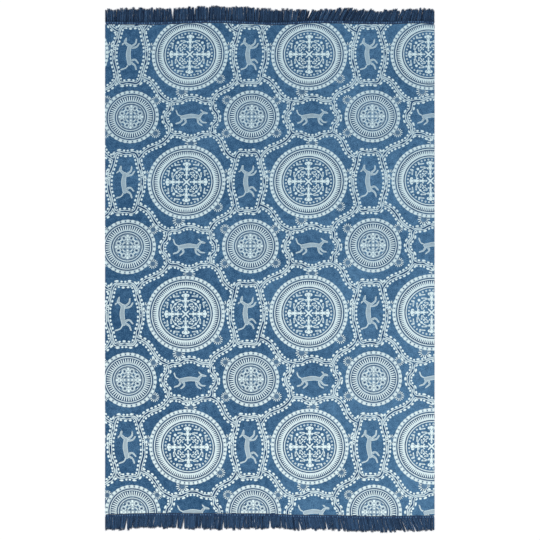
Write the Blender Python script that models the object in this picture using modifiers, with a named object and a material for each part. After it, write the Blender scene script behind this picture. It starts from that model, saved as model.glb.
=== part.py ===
"""Printed cotton kilim rug, lying flat: one woven cloth with a cut fringe sewn to each short end.

The rug lies in the XY plane, its length along Y, its underside at z = 0, and the middle of its
outer box over the origin. Each fringe is a narrow header strip with tapering locks of yarn that
rest level on the floor. The two ends of the cloth are cut a little unevenly, and each header
follows its end. Sizes are in metres.
"""
import random
from collections import namedtuple
from math import cos, pi

import bmesh
import bpy
from mathutils import Matrix

# The cloth
CLOTH_WIDTH = 1.200
CLOTH_LENGTH = 1.786
CLOTH_THICKNESS = 0.003
CLOTH_EDGE_ROUND = 0.0008
CLOTH_EDGE_STEPS = 2
CLOTH_CELLS_ACROSS = 24
CLOTH_CELLS_ALONG = 30

# The header that holds the fringe, parted from the cloth's edge
HEADER_GAP = 0.0003
HEADER_DEPTH = 0.012
HEADER_THICKNESS = 0.0034

# The locks of the fringe
LOCKS_PER_END = 150
LOCK_PITCH = CLOTH_WIDTH / LOCKS_PER_END
LOCK_ROOT_GAP = 0.0010
LOCK_BEND_AT = 0.55
LOCK_BEND_WIDTH = 0.0060
LOCK_BEND_HEIGHT = 0.0030
LOCK_TIP_WIDTH = 0.0042
LOCK_TIP_HEIGHT = 0.0018
LENGTH_SPREAD = 0.0035
SWAY_SPREAD = 0.0005
PARTING_REACH = 0.030
SIDE_MARGIN = 0.0004

# Rows of the lock mesh while it is still in index space
ROW_INNER, ROW_OUTER, ROW_BEND, ROW_TIP = 0, 1, 2, 3

EdgePoint = namedtuple("EdgePoint", "across out")
LockPoint = namedtuple("LockPoint", "across length lean")
Parting = namedtuple("Parting", "across opening")
End = namedtuple("End", "name side edge locks partings seed")

# "across" runs from 0 at the left side to 1 at the right side.
# "out" is how far the cloth's end stands beyond its nominal line.
TOP_EDGE = (
    EdgePoint(0.00, -0.0010),
    EdgePoint(0.12, -0.0030),
    EdgePoint(0.33, 0.0040),
    EdgePoint(0.52, -0.0040),
    EdgePoint(0.65, 0.0030),
    EdgePoint(0.86, -0.0010),
    EdgePoint(0.94, 0.0030),
    EdgePoint(1.00, -0.0010),
)
BOTTOM_EDGE = (
    EdgePoint(0.00, 0.0000),
    EdgePoint(0.15, -0.0045),
    EdgePoint(0.48, -0.0030),
    EdgePoint(0.60, 0.0025),
    EdgePoint(0.70, 0.0030),
    EdgePoint(0.80, 0.0068),
    EdgePoint(1.00, 0.0042),
)

# "length" is a lock's reach beyond the header, and "lean" its sideways run for each metre of it.
TOP_LOCKS = (
    LockPoint(0.00, 0.044, 0.00),
    LockPoint(0.10, 0.048, 0.03),
    LockPoint(0.20, 0.045, -0.03),
    LockPoint(0.40, 0.048, 0.02),
    LockPoint(0.54, 0.045, 0.02),
    LockPoint(0.63, 0.037, 0.18),
    LockPoint(0.70, 0.042, 0.24),
    LockPoint(0.80, 0.038, 0.28),
    LockPoint(0.90, 0.041, 0.20),
    LockPoint(1.00, 0.041, 0.00),
)
BOTTOM_LOCKS = (
    LockPoint(0.00, 0.045, 0.02),
    LockPoint(0.16, 0.042, 0.00),
    LockPoint(0.35, 0.046, -0.04),
    LockPoint(0.50, 0.042, -0.08),
    LockPoint(0.62, 0.041, 0.16),
    LockPoint(0.80, 0.044, 0.05),
    LockPoint(0.93, 0.042, 0.26),
    LockPoint(1.00, 0.044, 0.00),
)

# Places where the locks have parted, and how wide the parting opens at the tips.
TOP_PARTINGS = (
    Parting(0.206, 0.0090),
    Parting(0.305, 0.0030),
    Parting(0.616, 0.0060),
    Parting(0.665, 0.0040),
    Parting(0.722, 0.0040),
    Parting(0.777, 0.0035),
    Parting(0.822, 0.0050),
    Parting(0.886, 0.0045),
    Parting(0.950, 0.0035),
)
BOTTOM_PARTINGS = (
    Parting(0.067, 0.0045),
    Parting(0.152, 0.0035),
    Parting(0.240, 0.0080),
    Parting(0.361, 0.0045),
    Parting(0.435, 0.0035),
    Parting(0.498, 0.0050),
    Parting(0.590, 0.0040),
    Parting(0.670, 0.0035),
    Parting(0.807, 0.0025),
    Parting(0.898, 0.0045),
    Parting(0.930, 0.0060),
)

ENDS = (
    End("fringe_top", 1, TOP_EDGE, TOP_LOCKS, TOP_PARTINGS, 11),
    End("fringe_bottom", -1, BOTTOM_EDGE, BOTTOM_LOCKS, BOTTOM_PARTINGS, 23),
)

CLOTH_COLOUR = (0.16, 0.27, 0.40, 1.0)
FRINGE_COLOUR = (0.018, 0.035, 0.10, 1.0)
YARN_ROUGHNESS = 0.9


def read_table(table, across, column):
    """Value of a named column at a place across the rug, eased smoothly between the rows."""
    before = table[0]
    for after in table[1:]:
        if across <= after.across:
            share = (across - before.across) / (after.across - before.across)
            eased = (1 - cos(pi * min(max(share, 0), 1))) / 2
            low, high = getattr(before, column), getattr(after, column)
            return low + (high - low) * eased
        before = after
    return getattr(before, column)


def end_line(end, x):
    """Distance from the middle of the cloth to its cut end at x, straight between the cloth's stations."""
    place = min(max(x / CLOTH_WIDTH + 0.5, 0), 1) * CLOTH_CELLS_ACROSS
    station = min(int(place), CLOTH_CELLS_ACROSS - 1)
    here = read_table(end.edge, station / CLOTH_CELLS_ACROSS, "out")
    there = read_table(end.edge, (station + 1) / CLOTH_CELLS_ACROSS, "out")
    return CLOTH_LENGTH / 2 + here + (there - here) * (place - station)


def parting_push(end, x):
    """Sideways push on a lock's tip from the partings near it, away from each of them."""
    push = 0.0
    for parting in end.partings:
        offset = x - (parting.across - 0.5) * CLOTH_WIDTH
        if abs(offset) < PARTING_REACH:
            side = 1 if offset >= 0 else -1
            push += side * parting.opening / 2 * (1 - abs(offset) / PARTING_REACH)
    return push


def lay_out_locks(end):
    """Root middle, bend middle, tip middle and length of every lock at one end."""
    chance = random.Random(end.seed)
    half = CLOTH_WIDTH / 2
    layout = []
    for index in range(LOCKS_PER_END):
        root = -half + (index + 0.5) * LOCK_PITCH
        across = root / CLOTH_WIDTH + 0.5
        length = read_table(end.locks, across, "length")
        length += chance.uniform(-LENGTH_SPREAD, LENGTH_SPREAD)
        sway = read_table(end.locks, across, "lean") * length + parting_push(end, root)
        sway += chance.uniform(-SWAY_SPREAD, SWAY_SPREAD)
        reach = half - LOCK_TIP_WIDTH / 2 - SIDE_MARGIN
        tip = min(max(root + sway, -reach), reach)
        reach = half - LOCK_BEND_WIDTH / 2 - SIDE_MARGIN
        bend = min(max(root + (tip - root) * LOCK_BEND_AT, -reach), reach)
        layout.append((root, bend, tip, length))
    return layout


def place_point(end, layout, column, row, level):
    """Turn a point of the lock mesh from index space into its place in metres.

    Lock i owns the columns 2i+1 (left) and 2i+2 (right), and the columns between are the strip's gaps.
    level is 0 on the floor and 1 on the top.
    """
    half = CLOTH_WIDTH / 2
    if column == 0:
        x_root = -half
    elif column == 2 * LOCKS_PER_END + 1:
        x_root = half
    else:
        left_side = column % 2 == 1
        root, bend, tip, length = layout[(column - 1) // 2]
        hand = -1 if left_side else 1
        x_root = root + hand * (LOCK_PITCH - LOCK_ROOT_GAP) / 2
    header_inner = end_line(end, x_root) + HEADER_GAP
    header_outer = header_inner + HEADER_DEPTH
    if row == ROW_INNER:
        return x_root, end.side * header_inner, level * HEADER_THICKNESS
    if row == ROW_OUTER:
        return x_root, end.side * header_outer, level * HEADER_THICKNESS
    if row == ROW_BEND:
        x = bend + hand * LOCK_BEND_WIDTH / 2
        return x, end.side * (header_outer + length * LOCK_BEND_AT), level * LOCK_BEND_HEIGHT
    x = tip + hand * LOCK_TIP_WIDTH / 2
    return x, end.side * (header_outer + length), level * LOCK_TIP_HEIGHT


def lock_faces(shape, row):
    """Faces on the given row's outer side that belong to a lock and not to a gap of the strip."""
    found = []
    for face in shape.faces:
        if all(abs(vert.co.y - row) < 0.01 for vert in face.verts):
            left_column = round(min(vert.co.x for vert in face.verts))
            if left_column % 2 == 1:
                found.append(face)
    return found


def make_fringe(end):
    """One header strip with its locks, drawn out of the strip's outer side in two steps."""
    layout = lay_out_locks(end)
    columns = 2 * LOCKS_PER_END + 1
    shape = bmesh.new()
    to_indices = Matrix.Diagonal((columns, 1, 1, 1)) @ Matrix.Translation((0.5, 0.5, 0))
    bmesh.ops.create_grid(shape, x_segments=columns, y_segments=1, size=0.5, matrix=to_indices)
    bmesh.ops.solidify(shape, geom=shape.faces[:], thickness=-1)
    for row in (ROW_OUTER, ROW_BEND):
        drawn = bmesh.ops.extrude_discrete_faces(shape, faces=lock_faces(shape, row))
        for face in drawn["faces"]:
            for vert in face.verts:
                vert.co.y = row + 1
    for vert in shape.verts:
        column, row, level = (round(value) for value in vert.co)
        vert.co = place_point(end, layout, column, row, level)
    bmesh.ops.recalc_face_normals(shape, faces=shape.faces)
    mesh = bpy.data.meshes.new(end.name)
    shape.to_mesh(mesh)
    shape.free()
    return bpy.data.objects.new(end.name, mesh)


def make_cloth():
    """The flat cloth: a grid stretched between its two uneven ends, given its thickness and round edges."""
    top, bottom = ENDS
    shape = bmesh.new()
    bmesh.ops.create_grid(shape, x_segments=CLOTH_CELLS_ACROSS, y_segments=CLOTH_CELLS_ALONG, size=0.5)
    for vert in shape.verts:
        x = vert.co.x * CLOTH_WIDTH
        share = vert.co.y + 0.5
        vert.co = (x, end_line(top, x) * share - end_line(bottom, x) * (1 - share), 0)
    mesh = bpy.data.meshes.new("rug_cloth")
    shape.to_mesh(mesh)
    shape.free()
    cloth = bpy.data.objects.new("rug_cloth", mesh)
    thicken = cloth.modifiers.new("thickness", "SOLIDIFY")
    thicken.thickness = CLOTH_THICKNESS
    thicken.offset = 1
    soften = cloth.modifiers.new("round_edge", "BEVEL")
    soften.width = CLOTH_EDGE_ROUND
    soften.segments = CLOTH_EDGE_STEPS
    soften.limit_method = "ANGLE"
    return cloth


def make_material(name, colour):
    """Dull cotton in one colour."""
    material = bpy.data.materials.new(name)
    material.use_nodes = True
    surface = material.node_tree.nodes["Principled BSDF"]
    surface.inputs["Base Color"].default_value = colour
    surface.inputs["Roughness"].default_value = YARN_ROUGHNESS
    surface.inputs["Metallic"].default_value = 0.0
    return material


def centre_over_origin(fringes, pieces):
    """Move every piece so that the middle of the rug's outer box stands over the origin."""
    lows_and_highs = []
    for axis in (0, 1):
        places = [vert.co[axis] for fringe in fringes for vert in fringe.data.vertices]
        lows_and_highs.append((min(places) + max(places)) / 2)
    shift = Matrix.Translation((-lows_and_highs[0], -lows_and_highs[1], 0))
    for piece in pieces:
        piece.data.transform(shift)


def main():
    """Build the cloth and its two fringes in one collection."""
    for old in list(bpy.data.objects):
        bpy.data.objects.remove(old, do_unlink=True)
    collection = bpy.data.collections.new("kilim_rug")
    bpy.context.scene.collection.children.link(collection)
    cloth = make_cloth()
    cloth.data.materials.append(make_material("printed_cotton", CLOTH_COLOUR))
    fringes = [make_fringe(end) for end in ENDS]
    yarn = make_material("fringe_yarn", FRINGE_COLOUR)
    for fringe in fringes:
        fringe.data.materials.append(yarn)
    pieces = [cloth] + fringes
    centre_over_origin(fringes, pieces)
    for piece in pieces:
        collection.objects.link(piece)


main()
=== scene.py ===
"""Looks of a printed cotton kilim rug: the printed cloth, and a taped and cut fringe at each end.

The rug lies flat on a pale floor with its length along Y. All sizes are in metres, apart from
the print, whose sizes are in millimetres as a printer would mark them on the screen.

    RugCloth     one closed sheet with woven relief and the indigo print
    FringeTape   the dark tape that closes each short end
    FringeYarns  the cut yarns that hang from the tape, gathered in locks
    Studio       floor, light and camera
"""
import logging
from dataclasses import dataclass
from enum import Enum
from math import cos, pi, radians, sin

import bpy
import numpy as np
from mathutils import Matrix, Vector


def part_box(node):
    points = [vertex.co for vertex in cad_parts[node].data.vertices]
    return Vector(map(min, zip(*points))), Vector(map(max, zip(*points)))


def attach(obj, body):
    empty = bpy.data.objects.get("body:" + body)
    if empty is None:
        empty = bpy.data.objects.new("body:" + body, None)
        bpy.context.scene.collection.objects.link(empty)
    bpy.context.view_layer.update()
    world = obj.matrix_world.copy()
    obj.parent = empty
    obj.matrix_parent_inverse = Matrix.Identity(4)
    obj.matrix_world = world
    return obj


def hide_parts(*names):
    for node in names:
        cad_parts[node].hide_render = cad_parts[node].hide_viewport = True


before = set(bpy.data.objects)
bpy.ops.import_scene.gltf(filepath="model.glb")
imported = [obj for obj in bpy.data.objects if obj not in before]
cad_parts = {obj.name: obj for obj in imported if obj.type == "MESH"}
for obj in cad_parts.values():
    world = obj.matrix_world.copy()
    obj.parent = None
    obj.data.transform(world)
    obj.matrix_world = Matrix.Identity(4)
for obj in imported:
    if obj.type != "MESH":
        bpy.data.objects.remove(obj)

Array = np.ndarray
Pair = tuple[float, float]
Colour = tuple[float, float, float, float]
Faces = list[list[int]]

BODY = "root"

log = logging.getLogger("kilim_rug")


# ---------------------------------------------------------------------------------------------
# Sizes and tables
# ---------------------------------------------------------------------------------------------


class Ink(Enum):
    """What a printed shape does to the print under it."""

    PALE = "pale"
    DARK = "dark"


class Kind(Enum):
    """The two sizes of printed roundel, and the number that marks each on the mesh."""

    LARGE = 0.0
    SMALL = 1.0


class Side(Enum):
    """The two short ends of the rug, as the sign of their Y."""

    TOP = 1
    BOTTOM = -1


@dataclass(frozen=True)
class Station:
    """A value at a place across the rug, from 0 at the left to 1 at the right."""

    across: float
    value: float


@dataclass(frozen=True)
class Rosette:
    """A small flower on a roundel's rim: degrees from the right, turning left, and radius in mm."""

    turn: float
    radius: float

    def centre(self, rim: float) -> Pair:
        """Centre of the flower on a rim of the given radius."""
        return rim * cos(radians(self.turn)), rim * sin(radians(self.turn))


@dataclass(frozen=True)
class Cartouche:
    """A scalloped closed band around an animal, by its centre and half size in mm."""

    centre: Pair
    half: Pair
    scallops: int
    depth: float

    def at(self, turn: Array) -> Array:
        """Points of the band.

        They lie on an ellipse that is squared up, because its sine and cosine are drawn
        towards 1, and that swells and shrinks by a wave for each scallop.

        Args:
            turn: Angles in radians.

        Returns:
            One point a row, in mm.
        """
        swell = 1 + self.depth * np.cos(self.scallops * turn)
        round_points = np.column_stack((np.cos(turn), np.sin(turn)))
        squared = np.sign(round_points) * np.abs(round_points) ** 0.8
        return np.array(self.centre) + squared * np.array(self.half) * swell[:, None]


@dataclass(frozen=True)
class Stroke:
    """One brush stroke of the hound, with its half widths, all in hands."""

    points: tuple[Pair, ...]
    start: float
    middle: float
    end: float


@dataclass(frozen=True)
class Hound:
    """A running hound in a cell: its middle in mm, its turn in degrees and the size of a hand in mm."""

    middle: Pair
    turn: float
    hand: float

    def lines(self) -> list[tuple[Array, tuple[float, float, float]]]:
        """Place every stroke of the hound.

        Returns:
            Points of each stroke and its half widths, in mm.
        """
        cosine, sine = cos(radians(self.turn)), sin(radians(self.turn))
        turned = np.array(((cosine, sine), (-sine, cosine))) * self.hand
        return [
            (np.array(stroke.points) @ turned + np.array(self.middle),
             (stroke.start * self.hand, stroke.middle * self.hand, stroke.end * self.hand))
            for stroke in HOUND_STROKES
        ]


@dataclass(frozen=True)
class RugSize:
    """Sizes that the cloth and its two ends share."""

    width: float = 1.200
    length: float = 1.786
    thickness: float = 0.003
    header_gap: float = 0.0003
    header_depth: float = 0.012
    header_thickness: float = 0.0034
    cells: int = 24


RUG = RugSize()
PARTING_REACH = 0.030
PARTING_PUSH = 0.65

REPEAT_ACROSS = 427.0
REPEAT_DOWN = 477.5
SMALL_OFFSET = (-202.0, -235.0)

LARGE_RIM = 144.0
SMALL_RIM = 108.0

# The cells stand in the room that the roundels leave: one between two large roundels, and one
# between two small ones.
UPRIGHT_CELL = Cartouche((REPEAT_ACROSS / 2, 0.0), half=(56.0, 112.0), scallops=6, depth=0.05)
LYING_CELL = Cartouche((SMALL_OFFSET[0] + REPEAT_ACROSS / 2, -REPEAT_DOWN / 2), half=(88.0, 72.0),
                       scallops=8, depth=0.06)
CELL_STEPS = 49
TIE_STEPS = 9
TIE_SWING = 8.0

# A running hound, made up for this print. It is 3.5 hands long, and heads along the first axis.
HOUND_STROKES = (
    Stroke(((-1.0, 0.05), (0.0, 0.2), (0.9, 0.1)), 0.22, 0.25, 0.20),
    Stroke(((0.9, 0.15), (1.3, 0.6)), 0.17, 0.14, 0.11),
    Stroke(((1.3, 0.6), (1.8, 0.5)), 0.14, 0.11, 0.06),
    Stroke(((1.25, 0.7), (1.0, 0.95)), 0.07, 0.08, 0.04),
    Stroke(((0.8, 0.0), (1.2, -0.5), (1.7, -0.6)), 0.12, 0.09, 0.07),
    Stroke(((0.7, 0.0), (0.8, -0.6), (1.2, -0.9)), 0.12, 0.09, 0.07),
    Stroke(((-0.9, 0.0), (-1.2, -0.5), (-1.7, -0.7)), 0.14, 0.09, 0.07),
    Stroke(((-0.8, 0.0), (-0.6, -0.5), (-1.0, -0.9)), 0.14, 0.09, 0.07),
    Stroke(((-1.1, 0.15), (-1.5, 0.4), (-1.7, 0.9)), 0.07, 0.06, 0.08),
)
HOUNDS = (
    Hound(UPRIGHT_CELL.centre, turn=90.0, hand=34.0),
    Hound(LYING_CELL.centre, turn=0.0, hand=32.0),
)

LARGE_ROSETTES = (
    Rosette(85.0, 20.0),
    Rosette(260.0, 20.0),
    Rosette(10.0, 20.0),
    Rosette(320.0, 17.0),
    Rosette(170.0, 17.0),
)
SMALL_ROSETTES = (
    Rosette(35.0, 16.5),
    Rosette(145.0, 16.5),
    Rosette(215.0, 16.5),
    Rosette(325.0, 16.5),
)


@dataclass(frozen=True)
class RingStop:
    """How much of each kind of print starts at this radius, in mm: solid, ribbed and beaded.

    A solid below zero is a reserved line, where the dye looks deeper than on the open ground.
    thin is what is left of the ribbed print at the ring's outer edge, so that ribs can taper.
    """

    radius: float
    solid: float = 0.0
    ribs: float = 0.0
    beads: float = 0.0
    thin: float = 0.0


LARGE_RINGS = (
    RingStop(0.0),
    RingStop(87.0, solid=0.88),
    RingStop(90.5, solid=-0.30),
    RingStop(94.5, solid=0.90),
    RingStop(101.5, ribs=0.84, thin=0.26),
    RingStop(112.5, solid=-0.35),
    RingStop(115.5, solid=0.88),
    RingStop(119.5, solid=-0.25),
    RingStop(123.5, beads=1.0),
    RingStop(144.0),
)
SMALL_RINGS = (
    RingStop(0.0),
    RingStop(49.5, solid=0.76),
    RingStop(53.0, solid=-0.20),
    RingStop(57.0, solid=0.68),
    RingStop(62.5, ribs=0.50, thin=0.28),
    RingStop(76.0, solid=-0.20),
    RingStop(78.5, solid=0.82),
    RingStop(82.0, solid=-0.30),
    RingStop(86.0, beads=0.94),
    RingStop(106.0),
)
RING_SPAN = 160.0
RING_SOFT = 0.8
EDGE_SOFT = 0.8
DEEPEST = -0.35


@dataclass(frozen=True)
class Dot:
    """A round printed spot, in mm from the roundel's centre."""

    centre: Pair
    radius: float
    ink: Ink = Ink.PALE


@dataclass(frozen=True)
class Stem:
    """A straight printed line with round ends, in mm, whose half width runs from start to end."""

    start: Pair
    end: Pair
    half: float
    end_half: float | None = None
    ink: Ink = Ink.PALE


@dataclass(frozen=True)
class Bow:
    """Part of a printed circle line, in mm, kept where both coordinates pass the two given."""

    centre: Pair
    radius: float
    half: float
    past: Pair
    ink: Ink = Ink.PALE


Shape = Dot | Stem | Bow


def polar(radius: float, degrees: float) -> Pair:
    """Point at a radius and an angle from the nearest axis."""
    return radius * cos(radians(degrees)), radius * sin(radians(degrees))


def draw_flower() -> tuple[Shape, ...]:
    """One eighth of the flower in the large roundel, built up ring by ring.

    Three buds grow along the axis, each wider than the last, with a petal at its shoulder and a
    dark cleft. Leaves stand between the buds and the diagonal, which carries a chain of growing
    dots. Two thin rings tie them, and a garland of eyed beads closes the rim.

    Returns:
        The shapes, in the order in which they are printed.
    """
    shapes: list[Shape] = [Stem((0, 0), (11, 11), 3.0, 2.0)]
    for number in range(3):
        root, full = 14.0 + 20.0 * number, 5.0 + number
        shapes += [
            Stem((root, 0), (root + 13, 0), full - 2, full),
            Dot((root + 12, full + 1.5), full - 2),
            Stem((root + 3, 1.5), (root + 12, full), 0.6, 1.0, Ink.DARK),
        ]
    shapes += [Bow((0, 0), radius, 1.3, (0.0, 10.0)) for radius in (32.0, 50.0)]
    for radius in (36.0, 54.0, 68.0):
        shapes += [
            Stem(polar(radius, 20), polar(radius + 6, 33), 1.8, 2.8),
            Stem(polar(radius + 1, 24), polar(radius + 5, 31), 0.5, 0.9, Ink.DARK),
        ]
    shapes += [Dot(polar(26 + 12 * number, 45), 2.4 + 0.8 * number) for number in range(4)]
    for number in range(5):
        centre = polar(79, 4.5 + 9 * number)
        shapes += [Dot(centre, 3.2), Dot(centre, 1.2, Ink.DARK)]
    return tuple(shapes)


def draw_lace() -> tuple[Shape, ...]:
    """One eighth of the lace in the small roundel: rings of pale knots and dark holes.

    Returns:
        The shapes, in the order in which they are printed.
    """
    shapes: list[Shape] = [Dot((0, 0), 4.0)]
    for number in range(3):
        radius, size = 13.0 + 13.5 * number, 3.4 + 0.5 * number
        shapes += [
            Dot(polar(radius, 0), size),
            Dot(polar(radius, 45), size, Ink.DARK),
            Dot(polar(radius + 5, 45), size - 1.6),
        ]
    shapes += [Bow((0, 0), radius, 1.0, (-5.0, -5.0)) for radius in (20.0, 34.0)]
    shapes += [
        Bow(polar(34, 22.5), 7.5, 1.1, (-5.0, -5.0)),
        Dot(polar(34, 22.5), 3.2, Ink.DARK),
        Dot(polar(22, 22.5), 2.0, Ink.DARK),
        Bow((0, 0), 47.0, 1.3, (-5.0, -5.0), Ink.DARK),
    ]
    return tuple(shapes)


FLOWER = draw_flower()
LACE = draw_lace()
LACE_DISC = 48.6
LACE_GROUND = 0.30

# Radii in mm that share out the cloth between the two kinds of roundel.
LARGE_SHARE = 141.0
SMALL_SHARE = 103.0

WEAVE_RELIEF = 0.0007
WEAVE_STRENGTH = 0.8


# ---------------------------------------------------------------------------------------------
# Curves and grids
# ---------------------------------------------------------------------------------------------


def eased(table: tuple[Station, ...], across: Array) -> Array:
    """Read a table of stations, with a half cosine wave between each pair of rows.

    Args:
        table: Stations in order across the rug.
        across: Places to read, from 0 to 1.

    Returns:
        One value for each place.
    """
    places = np.array([station.across for station in table])
    values = np.array([station.value for station in table])
    row = np.clip(np.searchsorted(places, across, side="right") - 1, 0, len(table) - 2)
    share = np.clip((across - places[row]) / (places[row + 1] - places[row]), 0, 1)
    return values[row] + (values[row + 1] - values[row]) * (1 - np.cos(pi * share)) / 2


def through(points: Array, step: float) -> Array:
    """Carry a smooth line through the points, cut at an even step.

    The line is a Catmull-Rom spline: on each span the four nearest points are blended by cubic
    weights, and the result is measured along itself and cut again at equal distances.

    Args:
        points: Points in order, one a row.
        step: Distance between the points returned.

    Returns:
        Points along the line, one a row.
    """
    padded = np.vstack((2 * points[0] - points[1], points, 2 * points[-1] - points[-2]))
    share = np.linspace(0, 1, 24, endpoint=False)[None, :, None]
    p0, p1, p2, p3 = (padded[k:len(padded) - 3 + k][:, None, :] for k in range(4))
    spans = 0.5 * (
        2 * p1
        + (p2 - p0) * share
        + (2 * p0 - 5 * p1 + 4 * p2 - p3) * share**2
        + (3 * p1 - p0 - 3 * p2 + p3) * share**3
    )
    line = np.vstack((spans.reshape(-1, points.shape[1]), points[-1]))
    run = np.concatenate(([0.0], np.cumsum(np.linalg.norm(np.diff(line, axis=0), axis=1))))
    cuts = np.linspace(0, run[-1], max(2, int(run[-1] / step) + 1))
    return np.column_stack([np.interp(cuts, run, line[:, axis]) for axis in range(line.shape[1])])


def wrapped(values: Array, period: float) -> Array:
    """Move each value by whole periods until it lies within half a period of zero."""
    return values - period * np.round(values / period)


def rolling(places: Array, waves: tuple[tuple[float, float, float, float], ...]) -> Array:
    """Add up a few long sine waves over the floor plan.

    Args:
        places: X and Y of each point, one a row.
        waves: Height of each wave, its waves to a metre across and along, and its phase.

    Returns:
        Height of each point.
    """
    height = np.zeros(len(places))
    for size, across, along, phase in waves:
        height += size * np.sin(2 * pi * (across * places[:, 0] + along * places[:, 1]) + phase)
    return height


def make_object(name: str, verts: Array, faces: Faces, smooth: bool = True) -> bpy.types.Object:
    """Put a computed surface into a new object at the origin.

    Args:
        name: Name of the object and its mesh.
        verts: Places of the vertices, one a row.
        faces: Vertex numbers of each face, turning left when seen from outside.
        smooth: Whether the faces are shaded smooth.

    Returns:
        The new object, linked to the scene.
    """
    mesh = bpy.data.meshes.new(name)
    mesh.from_pydata(verts.tolist(), [], faces)
    mesh.polygons.foreach_set("use_smooth", np.full(len(mesh.polygons), smooth))
    mesh.update()
    made = bpy.data.objects.new(name, mesh)
    bpy.context.scene.collection.objects.link(made)
    return made


def grid_faces(rows: int, columns: int, start: int = 0, turned: bool = False) -> Array:
    """Quads between the rows and columns of a grid of vertices.

    Args:
        rows: Rows of vertices.
        columns: Vertices in a row.
        start: Number of the grid's first vertex.
        turned: Whether the faces look the other way.

    Returns:
        Four vertex numbers for each quad.
    """
    first = start + (np.arange(rows - 1)[:, None] * columns + np.arange(columns - 1)).ravel()
    quads = np.column_stack((first, first + 1, first + 1 + columns, first + columns))
    return quads[:, ::-1] if turned else quads


def put_vectors(mesh: bpy.types.Mesh, name: str, values: Array, domain: str = "CORNER") -> None:
    """Store one vector for each face corner (CORNER) or vertex (POINT) under the given name."""
    layer = mesh.attributes.new(name, "FLOAT_VECTOR", domain)
    layer.data.foreach_set("vector", values.astype(np.float32).ravel())


def put_numbers(mesh: bpy.types.Mesh, name: str, values: Array) -> None:
    """Store one number for each vertex under the given name."""
    layer = mesh.attributes.new(name, "FLOAT", "POINT")
    layer.data.foreach_set("value", values.astype(np.float32))


def put_uv(mesh: bpy.types.Mesh, name: str, corners: Array) -> None:
    """Store a UV map, one pair for each face corner."""
    layer = mesh.uv_layers.new(name=name)
    layer.data.foreach_set("uv", corners.astype(np.float32).ravel())


def corner_vertices(mesh: bpy.types.Mesh) -> Array:
    """Read which vertex each face corner stands on.

    Args:
        mesh: Mesh to read.

    Returns:
        One vertex number for each face corner, in order.
    """
    numbers = np.empty(len(mesh.loops), np.int32)
    mesh.loops.foreach_get("vertex_index", numbers)
    return numbers


def corner_counts(mesh: bpy.types.Mesh) -> Array:
    """Read how many corners each face has.

    Args:
        mesh: Mesh to read.

    Returns:
        One count for each face, in order.
    """
    counts = np.empty(len(mesh.polygons), np.int32)
    mesh.polygons.foreach_get("loop_total", counts)
    return counts


def vertex_places(mesh: bpy.types.Mesh) -> Array:
    """Read the place of every vertex.

    Args:
        mesh: Mesh to read.

    Returns:
        X, Y and Z in metres, one vertex a row.
    """
    places = np.empty(len(mesh.vertices) * 3, np.float32)
    mesh.vertices.foreach_get("co", places)
    return places.reshape(-1, 3)


# ---------------------------------------------------------------------------------------------
# The ends of the rug
# ---------------------------------------------------------------------------------------------


@dataclass(frozen=True)
class RugEnd:
    """One short end: its cut line, and the reach, lean, partings and shade of its fringe.

    edge holds how far the cloth stands beyond its nominal end, reach how far the locks run
    beyond the tape, lean their sideways run for each metre of that, partings where the locks
    have parted and how wide, and faded the yarns' mean shade, from dark to light.
    """

    name: str
    side: Side
    edge: tuple[Station, ...]
    reach: tuple[Station, ...]
    lean: tuple[Station, ...]
    partings: tuple[Station, ...]
    yarn_tone: float
    seed: int

    def line(self, x: Array) -> Array:
        """Distance from the middle of the cloth to its cut end, straight between evenly spaced knots."""
        knots = np.linspace(0, 1, RUG.cells + 1)
        return RUG.length / 2 + np.interp(x / RUG.width + 0.5, knots, eased(self.edge, knots))

    def furthest(self) -> float:
        """Largest distance from the middle of the cloth to its cut end."""
        return float(self.line(np.linspace(-0.5, 0.5, RUG.cells + 1) * RUG.width).max())

    def push(self, x: Array) -> Array:
        """Sideways push on the tips near each parting, fading to nothing 30 mm away from it.

        Args:
            x: Places across the rug, in metres.

        Returns:
            One push for each place, in metres.
        """
        total = np.zeros_like(x)
        for parting in self.partings:
            offset = x - (parting.across - 0.5) * RUG.width
            share = np.clip(1 - np.abs(offset) / PARTING_REACH, 0, 1)
            total += np.where(offset >= 0, PARTING_PUSH, -PARTING_PUSH) * parting.value * share
        return total


TOP_END = RugEnd(
    "top",
    Side.TOP,
    edge=(Station(0.0, -0.001), Station(0.12, -0.003), Station(0.33, 0.004), Station(0.52, -0.004),
          Station(0.65, 0.003), Station(0.86, -0.001), Station(0.94, 0.003), Station(1.0, -0.001)),
    reach=(Station(0.0, 0.044), Station(0.10, 0.048), Station(0.20, 0.045), Station(0.40, 0.048),
           Station(0.54, 0.045), Station(0.63, 0.037), Station(0.70, 0.042), Station(0.80, 0.038),
           Station(0.90, 0.041), Station(1.0, 0.041)),
    lean=(Station(0.0, 0.0), Station(0.10, 0.03), Station(0.20, -0.03), Station(0.40, 0.02),
          Station(0.54, 0.06), Station(0.63, 0.36), Station(0.70, 0.46), Station(0.80, 0.48),
          Station(0.90, 0.36), Station(1.0, 0.0)),
    partings=(Station(0.206, 0.0090), Station(0.305, 0.0030), Station(0.616, 0.0060),
              Station(0.665, 0.0040), Station(0.722, 0.0040), Station(0.777, 0.0035),
              Station(0.822, 0.0050), Station(0.886, 0.0045), Station(0.950, 0.0035)),
    yarn_tone=0.20,
    seed=11,
)
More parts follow.
